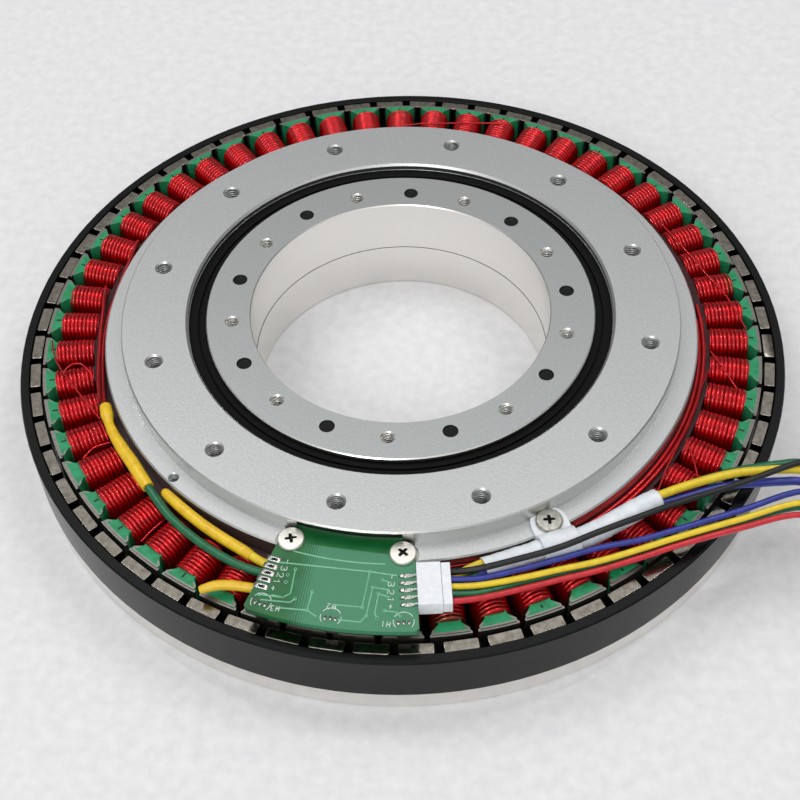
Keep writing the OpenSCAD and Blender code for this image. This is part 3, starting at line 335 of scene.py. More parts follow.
# Painted reflection in part: the paler green of the pour also stands for the sky mirrored in the
# mask.
solid_pour_sheen = ramp(tree, right, POUR_FROM, POUR_FULL, low=-0.9, high=1.4)
hatch = calc(tree, "SINE", calc(tree, "MULTIPLY", right, 2 * math.pi * per(HATCH_MM)))
pour_with_sheen = calc(tree, "MULTIPLY_ADD", hatch, 0.7, solid_pour_sheen, use_clamp=True)
pour_sheen_mask = calc(tree, "MULTIPLY", pour_with_sheen, ramp(tree, out, POUR_TOP, POUR_TOP + POUR_EDGE))
tree.links.new(blend(tree, pour_sheen_mask, mask_green, "#3d8460"), shader.inputs["Base Color"])
weave = add(tree, "ShaderNodeTexChecker", {"Vector": place, "Scale": per(0.5)})
relief(tree, shader, weave.outputs[1], 0.008, strength=0.5)

board_track = finish_of(
    "board_track", "#79bf98", "#62ad85", 1.0, grain, 0.5, 0.01,
    Roughness=0.3, Coat_Weight=0.6, Coat_Roughness=0.12)
board_ink = finish_of(
    "board_ink", "#eef3ee", "#d5ded6", 0.6, grain, 0.2, 0.01, Roughness=0.6)
tinned_pins = finish_of(
    "tinned_pins", "#dcdcd8", "#b9b9b4", 0.5, grain, 0.35, 0.03, Metallic=1.0, Roughness=0.24)
sensor_black = finish_of(
    "sensor_black", "#1c1c1e", "#121214", 0.8, grain, 0.25, 0.015, Roughness=0.45)

# %% [markdown]
# Three whites that differ in touch: moulded nylon for the header and plug, softer nylon for the
# clip, and shrink tube for the sleeve. All let a little light in.
# %% White plastics
connector_white = finish_of(
    "connector_white", "#f0f1f4", "#e4e6ea", 1.5, grain, 0.5, 0.01,
    Roughness=0.32, Subsurface_Weight=0.08, Subsurface_Scale=0.001)
nylon_white = finish_of(
    "nylon_white", "#e9ebef", "#dcdfe4", 2.0, grain, 0.8, 0.02,
    Roughness=0.42, Subsurface_Weight=0.1, Subsurface_Scale=0.001)
sleeve_white = finish_of(
    "sleeve_white", "#eceef2", "#dde0e6", 2.5, grain, 1.6, 0.08,
    Roughness=0.38, Subsurface_Weight=0.1, Subsurface_Scale=0.001)

# %% [markdown]
# Lead insulation is extruded, so it is smooth along its length with a satin gloss. One function
# makes all its colours, because only the pigment differs. The yellow shrink tube over the winding
# joints is glossier and lumpy where it grips the solder inside.
# %% Lead colours
def insulation(name, light, dark, roughness=0.34, lumps_mm=0.02):
    return finish_of(name, light, dark, 2.0, grain, 1.2, lumps_mm,
                     Roughness=roughness, Coat_Weight=0.1, Coat_Roughness=0.2)


lead_finishes = {
    "black": insulation("lead_black", "#0a0b0d", "#050607", roughness=0.45),
    "blue": insulation("lead_blue", "#2b369a", "#212a7c"),
    "yellow": insulation("lead_yellow", "#ebd02c", "#dcbc22"),
    "green": insulation("lead_green", "#0e6c46", "#0a5a39"),
    "red": insulation("lead_red", "#cc2430", "#b21b27")}
sleeve_yellow = insulation("sleeve_yellow", "#edc626", "#dcaf1c", roughness=0.28, lumps_mm=0.12)
bare_copper = finish_of(
    "bare_copper", "#d08a5c", "#b06a40", 0.6, grain, 0.3, 0.01, Metallic=1.0, Roughness=0.28)

# %% [markdown]
# The eight free leads come first, because they reach furthest. Each route is a short list of
# points in millimetres: straight out of the plug or sleeve, over the edge of the
# ring and down to the surface. A smooth curve runs through them, and a round bevel gives the
# insulation.
# %% Routes of the free leads
SENSOR_LEAD_D = 1.6
PHASE_LEAD_D = 2.3
BOARD_SPAN = 24.1
HEADER_RADIUS = 91.6
HEADER_REACH = 8.3
HEADER_MIDDLE = 29.1
WAY_PITCH = 2.05
WAY_COLOURS = ["black", "blue", "yellow", "green", "red"]

sensor_tails = {
    "black": [
        (21.3, -86.7, 30.9), (31, -84.1, 31.4), (40.8, -80.9, 31.7), (50.9, -75.9, 31.4),
        (61.1, -71, 30.9), (71.7, -65.7, 29.8), (87.7, -59, 28.9), (105.1, -51.7, 29),
        (118, -47, 25), (130, -43, 13), (142, -39.5, 3.6), (156, -35.5, 1.3), (172, -30.5, 0.95),
        (190, -24.5, 0.9)],
    "blue": [
        (21.4, -88.4, 29.2), (31.1, -85.7, 29.1), (41.1, -82.3, 28.9), (51, -78.7, 28.4),
        (61, -76.1, 28.1), (71.2, -72.5, 28), (86.8, -66.7, 27.7), (104.1, -60.2, 27.5),
        (118, -60.5, 23), (130, -60, 11), (142, -58.5, 3.2), (156, -55.5, 1.3), (172, -51, 0.95),
        (189, -46, 0.9)],
    "yellow": [
        (21.3, -90, 28.6), (31.1, -87.7, 28.3), (40.9, -84.8, 27.9), (50.8, -82, 27.6),
        (60.9, -78.3, 27.4), (71.2, -74.3, 27.2), (86.6, -68.9, 27.1), (103.7, -63.3, 26.9),
        (118, -63.5, 22), (130, -63.5, 10.5), (142, -62.5, 3), (156, -60, 1.3), (172, -56, 0.95),
        (189, -51, 0.9)],
    "green": [
        (21.3, -91.6, 27.7), (31.1, -88, 26.6), (41, -84.8, 26), (51, -81.8, 25.8),
        (61.1, -77.9, 25.6), (71.4, -73.9, 25.5), (86.9, -68.6, 25.3), (104, -63.6, 25.1),
        (118, -66.5, 20.5), (130, -67, 9.5), (142, -66.5, 2.8), (156, -64.5, 1.25),
        (172, -61, 0.95), (188, -56.5, 0.9)],
    "red": [
        (21.3, -93.3, 28), (31, -90.1, 27), (40.9, -86.9, 26.6), (50.9, -83.7, 26.2),
        (61, -79.9, 26), (71.2, -75.9, 25.9), (86.6, -70.7, 25.8), (103.6, -66.3, 25.6),
        (118, -70, 20.5), (130, -71, 9.5), (142, -71, 2.8), (156, -69.5, 1.25),
        (172, -66.5, 0.95), (188, -62.5, 0.9)]}
phase_tails = {
    "yellow": [
        (72.4, -60.2, 28.4), (77.8, -57.9, 28), (83.1, -56, 27.8), (88.5, -54.5, 27.6),
        (93.7, -53.7, 27.3), (98.9, -53, 27), (105.3, -53, 26.6), (118, -53, 22),
        (130, -52, 10.5), (142, -50, 3.4), (156, -46.5, 1.7), (176, -40, 1.35), (200, -30, 1.25)],
    "blue": [
        (72.5, -61.9, 26.2), (77.9, -59.8, 26), (83.2, -58, 25.8), (88.4, -56.8, 25.6),
        (93.6, -56.3, 25.6), (98.8, -55.8, 25.5), (105.2, -55.9, 25.4), (118, -57, 20.5),
        (130, -56, 9.5), (142, -54, 3.2), (156, -50.5, 1.7), (177, -43.5, 1.35),
        (201, -33.5, 1.25)],
    "green": [
        (72.8, -58.4, 25.9), (78.2, -56, 25.7), (83.6, -54, 25.6), (88.9, -52.3, 25.5),
        (94.2, -51.2, 25.5), (99.4, -50.2, 25.4), (105.8, -49.6, 25.2), (118, -49.2, 20),
        (130, -48.2, 9), (142, -46, 3.2), (156, -42.5, 1.7), (176, -36, 1.35), (199, -26, 1.25)]}
sleeve_route = [
    (22.4, -84.5, 27.4), (28, -82.4, 27.4), (35.3, -79.5, 27.4), (41, -77.4, 27.4),
    (46.6, -75.3, 27.4), (51.5, -72.6, 27.4), (56.8, -69.2, 27.4), (62, -65.7, 27.4),
    (66.6, -63, 27.4)]

# %% [markdown]
# A route becomes a line by a smooth curve through its points. Its direction at each point gives
# two more that are square to it, one of them level. The three motor leads lie round the middle of
# the white sleeve and twist slowly as they go, like a laid rope.
# %% Curves through points
def smooth(route, steps):
    points = [Vector(p) for p in route]
    last = len(points) - 1
    made = []
    for i in range(last):
        a, b, c, d = points[max(i - 1, 0)], points[i], points[i + 1], points[min(i + 2, last)]
        for step in range(steps):
            t = step / steps
            made.append(0.5 * (2 * b + (c - a) * t + (2 * a - 5 * b + 4 * c - d) * t * t
                               + (3 * b - a - 3 * c + d) * t ** 3))
    return made + [points[last]]


def heading(points, i):
    return (points[min(i + 1, len(points) - 1)] - points[max(i - 1, 0)]).normalized()


def up(height):
    return Vector((0, 0, height))


def square_to(direction):
    side = up(1).cross(direction).normalized()
    return side, direction.cross(side)


def whole_turn(count):
    return [2 * math.pi * step / count for step in range(count)]


def length_mm(points):
    return sum((b - a).length for a, b in zip(points, points[1:]))


BUNDLE_PLAY = 0.03
BUNDLE_RADIUS = PHASE_LEAD_D / 2 / math.sin(math.radians(60)) + BUNDLE_PLAY
BUNDLE_TWIST = math.radians(-60)
strand_starts = {"yellow": 150, "green": 270, "blue": 30}
sleeve_line = smooth(sleeve_route, 2)


def strand(start_degrees):
    last = len(sleeve_line) - 1
    made = []
    for i, point in enumerate(sleeve_line):
        side, above = square_to(heading(sleeve_line, i))
        turn = math.radians(start_degrees) + BUNDLE_TWIST * i / last
        made.append(point + BUNDLE_RADIUS * (math.sin(turn) * above - math.cos(turn) * side))
    return made


strands = {name: strand(start) for name, start in strand_starts.items()}


def settle(piece, material, body="stator", stands_for=()):
    piece.data.materials.clear()
    piece.data.materials.append(material)
    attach(piece, body)
    if stands_for:
        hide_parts(*stands_for)
    return piece


def round_curve(name, radius_mm, resolution):
    curve = bpy.data.curves.new(name, "CURVE")
    curve.dimensions = "3D"
    curve.bevel_depth = radius_mm * MM
    curve.bevel_resolution = resolution
    curve.use_fill_caps = True
    return curve


def add_spline(curve, points):
    spline = curve.splines.new("POLY")
    spline.points.add(len(points) - 1)
    for knot, point in zip(spline.points, points):
        knot.co = (*(point * MM), 1)
    return spline


def tube(name, points, diameter, radii=None):
    curve = round_curve(name, diameter / 2, 4)
    spline = add_spline(curve, points)
    for knot, radius in zip(spline.points, radii or [1] * len(points)):
        knot.radius = radius
    spline.use_smooth = True
    return placed(name, curve)


# %% [markdown]
# The far ends of the leads are bare, ready to be soldered: seven twisted copper strands stand out
# of the cut insulation. They are short curves round the lead's last direction.
# %% Copper strands
STRAND_COUNT = 7
STRAND_LENGTH = 3.0
STRAND_STEPS = 6
STRAND_LAY = 70
STRAND_RADIUS = 0.11
STRAND_OUT = 0.23
STRAND_SUNK = 0.1


def copper_end(name, line, diameter):
    end, direction = line[-1], (line[-1] - line[-2]).normalized()
    side, above = square_to(direction)
    curve = round_curve(name, STRAND_RADIUS * diameter, 2)
    for number in range(STRAND_COUNT):
        out = 0 if number == 0 else STRAND_OUT * diameter
        points = []
        for step in range(STRAND_STEPS):
            share = step / (STRAND_STEPS - 1)
            turn = math.radians(60 * number + STRAND_LAY * share)
            spot = end + direction * STRAND_LENGTH * (share - STRAND_SUNK)
            spot += out * (math.cos(turn) * side + math.sin(turn) * above)
            points.append(spot)
        add_spline(curve, points)
    return settle(placed(name, curve), bare_copper)


# %% Free leads
def at_edge(radius_mm, reach, height_mm):
    return turned_by(BOARD_ANGLE + BOARD_SPAN / 2, radius_mm, reach, height_mm)


def way_radius(way):
    return HEADER_RADIUS + (way - 2) * WAY_PITCH


free_leads = []
for way, name in enumerate(WAY_COLOURS):
    plug_exit = at_edge(way_radius(way), HEADER_REACH, HEADER_MIDDLE)
    route = [plug_exit] + sensor_tails[name]
    free_leads.append(("sensor_lead_", name, route, SENSOR_LEAD_D, "limp"))
for name, tail in phase_tails.items():
    route = [strands[name][-1]] + tail
    free_leads.append(("phase_lead_", name, route, PHASE_LEAD_D, "medium"))

for kind, name, route, diameter, stiffness in free_leads:
    line = smooth(route, 6)
    lead = tube(kind + name + "_insulation", line, diameter)
    settle(lead, lead_finishes[name], stands_for=[kind + name])
    copper = copper_end(kind + name + "_strands", line, diameter)
    print(kind + name, "in mm:", round(length_mm(line), 1))

# %% [markdown]
# Inside the motor the three leads are held all the way: from a soldered joint under yellow shrink
# tube, past the coils, under the board and into the white sleeve. The shrink tubes swell over the
# solder, so their radius changes from point to point.
# %% Joints and inner leads
joint_routes = [
    [(-79.4, -31.9, 26.3), (-78.4, -35.2, 26.3), (-77.3, -38.3, 26.3), (-75.6, -41.8, 26.3),
     (-72.4, -46.9, 26.3), (-69.4, -51.2, 26.3), (-66.6, -55.5, 26.3), (-63.9, -59.4, 26.2)],
    [(-59.7, -60.5, 25.9), (-54.8, -65.4, 26), (-49, -70.5, 26), (-43.4, -74.7, 26),
     (-38, -78.3, 25.9), (-35.3, -80.1, 25.8)],
    [(-47.2, -90, 25.3), (-43.2, -89, 25.9), (-39.4, -88.9, 25.9), (-35.2, -89.4, 25.8),
     (-31.6, -89.9, 25.62)]]
joint_radii = [
    [1.6, 1.75, 1.3, 1.45, 1.7, 1.8, 1.8, 1.65],
    [1.3, 1.5, 1.5, 1.5, 1.5, 1.35],
    [1.1, 1.3, 1.3, 1.25, 1.17]]
inner_routes = {
    "green": [
        (-63.9, -59.4, 26.2), (-58.5, -66.8, 25.7), (-54, -71.5, 25.6), (-48.2, -76.4, 25.6),
        (-42.7, -80.2, 25.6), (-37.3, -83.2, 25.6), (-31, -85.4, 25.6), (-22, -88.1, 25.6),
        (-11, -90.1, 25.6), (0, -90.7, 25.6), (8, -90.3, 25.6), (14.5, -89.1, 25.6),
        (18.4, -87.1, 25.7)],
    "yellow": [
        (-35.3, -80.1, 25.8), (-30.5, -82.8, 25.6), (-21, -85.4, 25.6), (-10, -87.4, 25.6),
        (0, -88, 25.6), (8, -87.6, 25.6), (14.5, -86.4, 25.7), (18.2, -84.7, 27)],
    "blue": [
        (-35.2, -89.4, 25.8), (-32, -89.8, 25.7), (-22.5, -91, 25.6), (-11.5, -92.8, 25.6),
        (0, -93.4, 25.6), (8, -93, 25.6), (14.5, -91.7, 25.6), (19, -89.4, 26.5)]}
JOINT_STEPS = 8
JOINT_LIP = [0.75, 0.94]


def between(values, steps):
    made = []
    for a, b in zip(values, values[1:]):
        for step in range(steps):
            t = step / steps
            made.append(a + (b - a) * t * t * (3 - 2 * t))
    return made + [values[-1]]


for number, (route, radii) in enumerate(zip(joint_routes, joint_radii), start=1):
    sizes = between(radii, JOINT_STEPS)
    for i, narrower in enumerate(JOINT_LIP):
        sizes[i] *= narrower
    joint = tube("joint_shrink_tube_" + str(number), smooth(route, JOINT_STEPS), 2, sizes)
    settle(joint, sleeve_yellow, stands_for=["joint_sleeve_" + str(number)])

for name, route in inner_routes.items():
    inner = smooth(route + [strands[name][0]], 5) + strands[name][1:]
    settle(tube("inner_lead_" + name + "_insulation", inner, PHASE_LEAD_D), lead_finishes[name],
           stands_for=["inner_lead_" + name])

# %% [markdown]
# The white sleeve is thin shrink tube round the three motor leads. It is a swept skin that two
# layers of noise dent a little, each with its share, its pace along the sleeve and its pace
# round it, and Solidify gives the skin its wall. Two small functions list the faces between rows
# of points: one for walls, open or closed to a ring, and one for domes with a flat bottom.
# %% White sleeve
SLEEVE_RADIUS = 2.9
SLEEVE_WALL = 0.25
SLEEVE_SIDES = 28
CREASE_DEPTH = 0.3
CREASES = ((1.0, 0.35, 1.1), (0.5, 0.9, 2.0))


def wall_faces(rows, count, closed=False):
    faces = []
    for row in range(rows if closed else rows - 1):
        a, b = row * count, (row + 1) % rows * count
        for step in range(count):
            after = (step + 1) % count
            faces.append((a + step, a + after, b + after, b + step))
    return faces


def dome_faces(rows, count):
    faces = []
    for step in range(count):
        after = (step + 1) % count
        faces.append((0, 1 + step, 1 + after))
        for row in range(rows - 1):
            a, b = 1 + row * count, 1 + (row + 1) * count
            faces.append((a + step, b + step, b + after, a + after))
    return faces + [tuple(reversed(range(1 + (rows - 1) * count, 1 + rows * count)))]


def mesh_of(name, points, faces):
    mesh = bpy.data.meshes.new(name)
    mesh.from_pydata(points, [], faces)
    mesh.polygons.foreach_set("use_smooth", [True] * len(faces))
    print(name, "faces:", len(faces))
    return mesh


sleeve_skin = smooth(sleeve_route, 10)
points = []
for i, middle in enumerate(sleeve_skin):
    side, above = square_to(heading(sleeve_skin, i))
    for turn in whole_turn(SLEEVE_SIDES):
        outward = math.cos(turn) * side + math.sin(turn) * above
        crease = sum(share * noise.noise(middle * along + outward * around)
                     for share, along, around in CREASES)
        points.append((middle + outward * (SLEEVE_RADIUS - CREASE_DEPTH * abs(crease))) * MM)
sleeve_mesh = mesh_of("lead_sleeve_creased", points, wall_faces(len(sleeve_skin), SLEEVE_SIDES))
shape = bmesh.new()
shape.from_mesh(sleeve_mesh)
bmesh.ops.recalc_face_normals(shape, faces=shape.faces)
shape.to_mesh(sleeve_mesh)
shape.free()
sleeve = placed("lead_sleeve_creased", sleeve_mesh)
wall = sleeve.modifiers.new("wall", "SOLIDIFY")
wall.thickness = SLEEVE_WALL * MM
wall.offset = -1
settle(sleeve, sleeve_white, stands_for=["lead_sleeve"])

# %% [markdown]
# Geometry Nodes make what repeats. Two trees do it all here. The first sweeps a round profile
# along every line of a mesh, which gives turns of wire, threads and tracks. The second sets copies
# of a shape round the spin axis and can keep every third group of them, which is how the coils of
# one phase lie. Each result is baked to a plain mesh, and its modifier is taken off.
# %% Geometry Nodes helpers
def new_tree(name, sockets):
    tree = bpy.data.node_groups.new(name, "GeometryNodeTree")
    tree.interface.new_socket("Geometry", in_out="OUTPUT", socket_type="NodeSocketGeometry")
    for label, kind in sockets.items():
        tree.interface.new_socket(label, in_out="INPUT", socket_type="NodeSocket" + kind)
    return tree, add(tree, "NodeGroupInput").outputs


def end_tree(tree, shape, material):
    whole = add(tree, "GeometryNodeRealizeInstances", {"Geometry": shape})
    painted = add(tree, "GeometryNodeSetMaterial", {"Geometry": whole, "Material": material})
    add(tree, "NodeGroupOutput", {"Geometry": painted})


def baked(name, start_mesh, tree, **inputs):
    piece = placed(name, start_mesh)
    modifier = piece.modifiers.new(tree.name, "NODES")
    modifier.node_group = tree
    sockets = {item.name: item.identifier for item in tree.interface.items_tree
               if item.in_out == "INPUT"}
    for label, value in inputs.items():
        modifier[sockets[label.replace("_", " ")]] = value
    depsgraph = bpy.context.evaluated_depsgraph_get()
    mesh = bpy.data.meshes.new_from_object(piece.evaluated_get(depsgraph))
    mesh.name = name
    piece.modifiers.clear()
    piece.data = mesh
    print(name, "faces:", len(mesh.polygons))
    return piece


def mesh_only(piece):
    mesh = piece.data
    bpy.data.objects.remove(piece)
    return mesh


# %% Tree: wire along lines
sweep_tree, given = new_tree("wire_along_lines", {
    "Lines": "Geometry", "Wire Radius": "Float", "Sides": "Int", "Finish": "Material"})
curves = add(sweep_tree, "GeometryNodeMeshToCurve", {"Mesh": given["Lines"]})
profile = add(sweep_tree, "GeometryNodeCurvePrimitiveCircle",
              {"Resolution": given["Sides"], "Radius": given["Wire Radius"]})
swept = add(sweep_tree, "GeometryNodeCurveToMesh",
            {"Curve": curves, "Profile Curve": profile, "Fill Caps": True})
rounded = add(sweep_tree, "GeometryNodeSetShadeSmooth", {"Geometry": swept})
end_tree(sweep_tree, rounded, given["Finish"])


def wires(name, lines, radius_mm, sides, finish):
    mesh = bpy.data.meshes.new(name + "_lines")
    points, edges = [], []
    for line in lines:
        edges += [(len(points) + i, len(points) + i + 1) for i in range(len(line) - 1)]
        points += [point * MM for point in line]
    mesh.from_pydata(points, edges, [])
    return baked(name, mesh, sweep_tree, Wire_Radius=radius_mm * MM, Sides=sides, Finish=finish)


# %% Tree: copies round the axis
ring_tree, given = new_tree("copies_round_axis", {
    "Shape": "Geometry", "Count": "Int", "First Angle": "Float", "Group": "Int", "Groups": "Int",
    "Chosen": "Int", "Variation": "Float", "Seed": "Int", "Finish": "Material"})
line = add(ring_tree, "GeometryNodeMeshLine", {"Count": given["Count"], "Offset": (0, 0, 0)})
index = add(ring_tree, "GeometryNodeInputIndex").outputs[0]
share = calc(ring_tree, "DIVIDE", index, given["Count"])
turn = calc(ring_tree, "MULTIPLY_ADD", share, 2 * math.pi, given["First Angle"])
rotation = add(ring_tree, "ShaderNodeCombineXYZ", {2: turn})
group = calc(ring_tree, "FLOOR", calc(ring_tree, "DIVIDE", index, given["Group"]))
lane = calc(ring_tree, "MODULO", group, given["Groups"])
kept = calc(ring_tree, "COMPARE", lane, given["Chosen"], 0.1)
smaller = calc(ring_tree, "SUBTRACT", 1.0, given["Variation"])
larger = calc(ring_tree, "ADD", 1.0, given["Variation"])
size = add(ring_tree, "FunctionNodeRandomValue",
           {2: smaller, 3: larger, "Seed": given["Seed"]}, data_type="FLOAT").outputs[1]
scale = add(ring_tree, "ShaderNodeCombineXYZ", {0: 1.0, 1: size, 2: size})
copies = add(ring_tree, "GeometryNodeInstanceOnPoints", {
    "Points": line, "Selection": kept, "Instance": given["Shape"],
    "Rotation": rotation, "Scale": scale})
end_tree(ring_tree, copies, given["Finish"])

# %% [markdown]
# A coil is one wire wound nine times round a tooth. Its line is computed: half a circle over the
# top, straight down the flank, half a circle below and up again, creeping outwards by one wire in
# each turn. A small seeded wobble keeps the turns from looking machined. A plain block of the same
# section fills the coil, as the lower layers do in the real one.
# %% Coils
COIL_TURNS = 9
COIL_WIDTH = 9.1
COIL_HEIGHT = 17.8
COIL_START = 87.1
COIL_LENGTH = 10.8
COIL_MIDDLE = 15.5
COIL_WIRE_D = 1.14
CROWN_STEPS = 9
WOBBLE = 0.05
FILLING_INSET = 0.1
FILLING_UNDER = 0.55
SIZE_SPREAD = 0.004
WOBBLE_SEED = 11
crowns = [(side, math.pi * (side + step / CROWN_STEPS))
          for side in (0, 1) for step in range(CROWN_STEPS + 1)]


def coil_section(reach, side, around):
    flank = (COIL_HEIGHT - COIL_WIDTH) / 2
    return (reach * math.cos(around),
            COIL_MIDDLE + reach * math.sin(around) + flank * (1 - 2 * side))


def coil_line():
    wobble = random.Random(WOBBLE_SEED)
    half = (COIL_WIDTH - COIL_WIRE_D) / 2 - WOBBLE
    pitch = (COIL_LENGTH - COIL_WIRE_D) / (COIL_TURNS - 0.5)
    points = []
    for turn_number in range(COIL_TURNS):
        for side, around in crowns:
            so_far = turn_number + around / (2 * math.pi)
            out = COIL_START + COIL_WIRE_D / 2 + pitch * min(so_far, COIL_TURNS - 0.5)
            reach = half + wobble.uniform(-WOBBLE, WOBBLE)
            points.append(Vector((out, *coil_section(reach, side, around))))
    return points


def add_filling(mesh):
    reach = COIL_WIDTH / 2 - FILLING_UNDER * COIL_WIRE_D
    outline = [coil_section(reach, side, around) for side, around in crowns]
    count = len(outline)
    shape = bmesh.new()
    shape.from_mesh(mesh)
    corners = [shape.verts.new(Vector((x, y, z)) * MM)
               for x in (COIL_START + FILLING_INSET, COIL_START + COIL_LENGTH - FILLING_INSET)
               for y, z in outline]
    ends = [tuple(reversed(range(count))), tuple(range(count, 2 * count))]
    for face in wall_faces(2, count) + ends:
        shape.faces.new([corners[i] for i in face])
    shape.to_mesh(mesh)
    shape.free()
    return mesh


coil_mesh = add_filling(mesh_only(
    wires("one_coil", [coil_line()], COIL_WIRE_D / 2, 8, enamelled_copper)))
for chosen, phase_name in enumerate(("u", "v", "w")):
    coils = baked("coils_" + phase_name, coil_mesh.copy(), ring_tree, Count=TOOTH_COUNT,
                  First_Angle=FIRST_TOOTH, Group=3, Groups=3, Chosen=chosen, Variation=SIZE_SPREAD,
                  Seed=chosen, Finish=enamelled_copper)
    settle(coils, enamelled_copper, stands_for=["coil_phase_" + phase_name])

# %% [markdown]
# Between the coils run loose lengths of thinner wire: phase tails along the ledge and crossings
# from coil to coil. Their routes are short lists of angle, radius and height.
# %% Loose winding wires
LEFT_WIRE_D = 0.95
CROSSING_WIRE_D = 0.5
left_routes = [
    [(-205.1, 89.6, 21), (-203.4, 88, 23.4), (-199, 85.8, 24.6), (-192, 84.6, 24.5),
     (-183, 84.4, 24.4), (-176, 84.4, 24.4), (-168, 84.5, 24.7), (-161, 85.2, 25.8),
     (-158.3, 85.6, 26.3)],
    [(-191.8, 90.2, 21), (-190, 88.6, 23.4), (-185, 86.6, 24.9), (-177, 85.5, 24.7),
     (-168, 85.6, 25.1), (-163, 86.1, 25.9), (-159.4, 86.7, 26.6)]]
crossing_routes = [
    [(-176.5, 99.2, 23.9), (-174.1, 98.5, 24.6), (-170.6, 96.8, 25), (-167.1, 94.4, 25.1),
     (-163.8, 92.1, 25.1), (-160, 89.8, 25.1), (-156.1, 88, 24.9)],
    [(-168.4, 95.6, 25), (-169.9, 93.2, 25.1), (-170, 90.8, 25.1), (-168.8, 89, 25.1),
     (-167.1, 87.7, 24.9), (-165.5, 87.6, 24.3)],
    [(-150.8, 97.2, 20.6), (-152.2, 92.4, 21.6), (-151.9, 87.7, 21.9)],
    [(-131.8, 97.2, 20.5), (-131.9, 92.5, 21.3), (-131.8, 88.7, 21.7)],
    [(-35, 95.4, 24.75), (-32, 91.5, 24.8), (-28.5, 87, 24.8)],
    [(-14.5, 95, 24.75), (-10, 90.2, 24.8), (-6.5, 87, 24.6)],
    [(-1, 97.4, 24.75), (7, 94, 24.8), (13, 90.9, 24.8), (20, 89, 24.8), (30, 88.2, 24.8)],
    [(70, 94.8, 24.7), (72.2, 93.9, 24.75), (75.9, 92.3, 24.8), (80.2, 90.8, 24.8),
     (84.7, 89.7, 24.8), (87.8, 89.2, 24.8), (92.4, 87.5, 24.7), (96.5, 86, 24.4)],
    [(-10.5, 87.2, 24.4), (-14.5, 85.9, 25), (-20.1, 85.4, 25.3), (-26.4, 85.5, 25.3),
     (-32.1, 86.1, 25.2), (-36.4, 87.1, 25.1), (-40.4, 89, 24.9), (-43.5, 90.4, 24.6)],
    [(-82, 83.75, 25.2), (-77, 83.75, 25.2), (-72, 83.75, 24.2), (-66, 83.75, 23.8)]]
for name, routes, node, diameter in (
        ("left_winding_wires", left_routes, "winding_bundle_left", LEFT_WIRE_D),
        ("crossing_wires", crossing_routes, "winding_crossovers", CROSSING_WIRE_D)):
    lines = [smooth([polar(*point) for point in route], 8) for route in routes]
    settle(wires(name, lines, diameter / 2, 12, enamelled_copper), enamelled_copper,
           stands_for=[node])

# %% [markdown]
# Tapped holes show their threads in raking light. Each thread is a helix of wire half sunk in the
# hole's wall, one turn for each pitch, and the ring tree sets it in every hole of the circle.
# %% Threads
THREAD_STEPS = 18
THREAD_WIRE = 0.36


def threads(name, circle_radius, hole_radius, top, depth, pitch, count, first, body, finish):
    steps = int(depth / pitch * THREAD_STEPS)
    helix = [Vector((circle_radius + hole_radius * math.cos(2 * math.pi * i / THREAD_STEPS),
                     hole_radius * math.sin(2 * math.pi * i / THREAD_STEPS),
                     top - depth * i / steps)) for i in range(steps + 1)]
    one = mesh_only(wires(name + "_one", [helix], THREAD_WIRE * pitch, 4, finish))
    many = baked(name, one, ring_tree, Count=count, First_Angle=math.radians(first), Group=1,
                 Groups=1, Chosen=0, Variation=0.0, Seed=0, Finish=finish)
    settle(many, finish, body)


threads("mount_threads", circle_radius=70.0, hole_radius=2.2, top=32.2, depth=8.0, pitch=0.8,
        count=12, first=108.2, body="stator", finish=housing_aluminium)
threads("hub_threads", circle_radius=47.24, hole_radius=1.75, top=31.5, depth=7.0, pitch=0.7,
        count=9, first=107.43, body="rotor", finish=rotor_aluminium)
threads("spare_hole_thread", circle_radius=81.2, hole_radius=1.32, top=27.5, depth=4.0,
        pitch=0.5, count=1, first=-134.9, body="stator", finish=housing_aluminium)

# %% [markdown]
# The hub ring stands on the base plate's boss, and both were bored in one setting, so their joint
# is only a hairline round the hole. A fine dark wire half sunk in the wall draws it.
# %% Joint line in the bore
BORE_RADIUS = 42.0
JOINT_HEIGHT = 15.0
JOINT_WIDTH = 0.22
bore_circle = [polar(a, BORE_RADIUS, JOINT_HEIGHT) for a in range(0, 361, 3)]
settle(wires("bore_joint_line", [bore_circle], JOINT_WIDTH / 2, 6, cage_polymer), cage_polymer,
       "rotor")

# %% [markdown]
# The sensor board is drawn in its own flat frame: x runs towards the header and y away from the
# shaft. Its copper tracks lie under the solder mask as low rounded ridges, with a plated hole
# where one ends, and the white print lies on top. All three are lines that the first tree sweeps.
# The marks by the pads are a few pen strokes each, so no typeface is needed.
# %% Tracks and print on the board
BOARD_TOP = 28.4
track_routes = [
    [(-15.4, 86.8), (6.9, 86.1), (13.7, 86.2)],
    [(-11.2, 88.2), (-10.9, 95.2), (-12.6, 96.6), (-18.4, 96.6)],
    [(-9.5, 96.5), (-10.5, 97.7), (-17.7, 98)],
    [(-5.8, 93.9), (-6, 99.2), (-3.4, 100.6)],
    [(-13.5, 99.6), (-6, 99.2)],
    [(6.9, 86.1), (6.9, 96.4), (-0.2, 96.7)],
    [(12.6, 90.6), (8.4, 90.4), (8.3, 98.6), (7.2, 100.5), (1.8, 100.7)],
    [(12.9, 92.6), (10.1, 92), (10.2, 97.7), (11, 98.8)],
    [(10.3, 88), (12.6, 88.5)],
    [(12.3, 96.5), (15.3, 96.5), (16.5, 97.7)],
    [(-12.3, 96.5), (-15.3, 96.3)]]
plated_holes = [
    (6.9, 86.1), (-11.2, 88.2), (-12.7, 90.1), (-12.7, 92.2), (-18.4, 96.6), (-9.5, 96.5),
    (-5.8, 93.9), (-6, 99.2), (6.9, 96.4), (8.4, 90.4), (8.3, 98.6), (10.1, 92), (11, 98.8),
    (10.3, 88), (12.3, 96.5)]
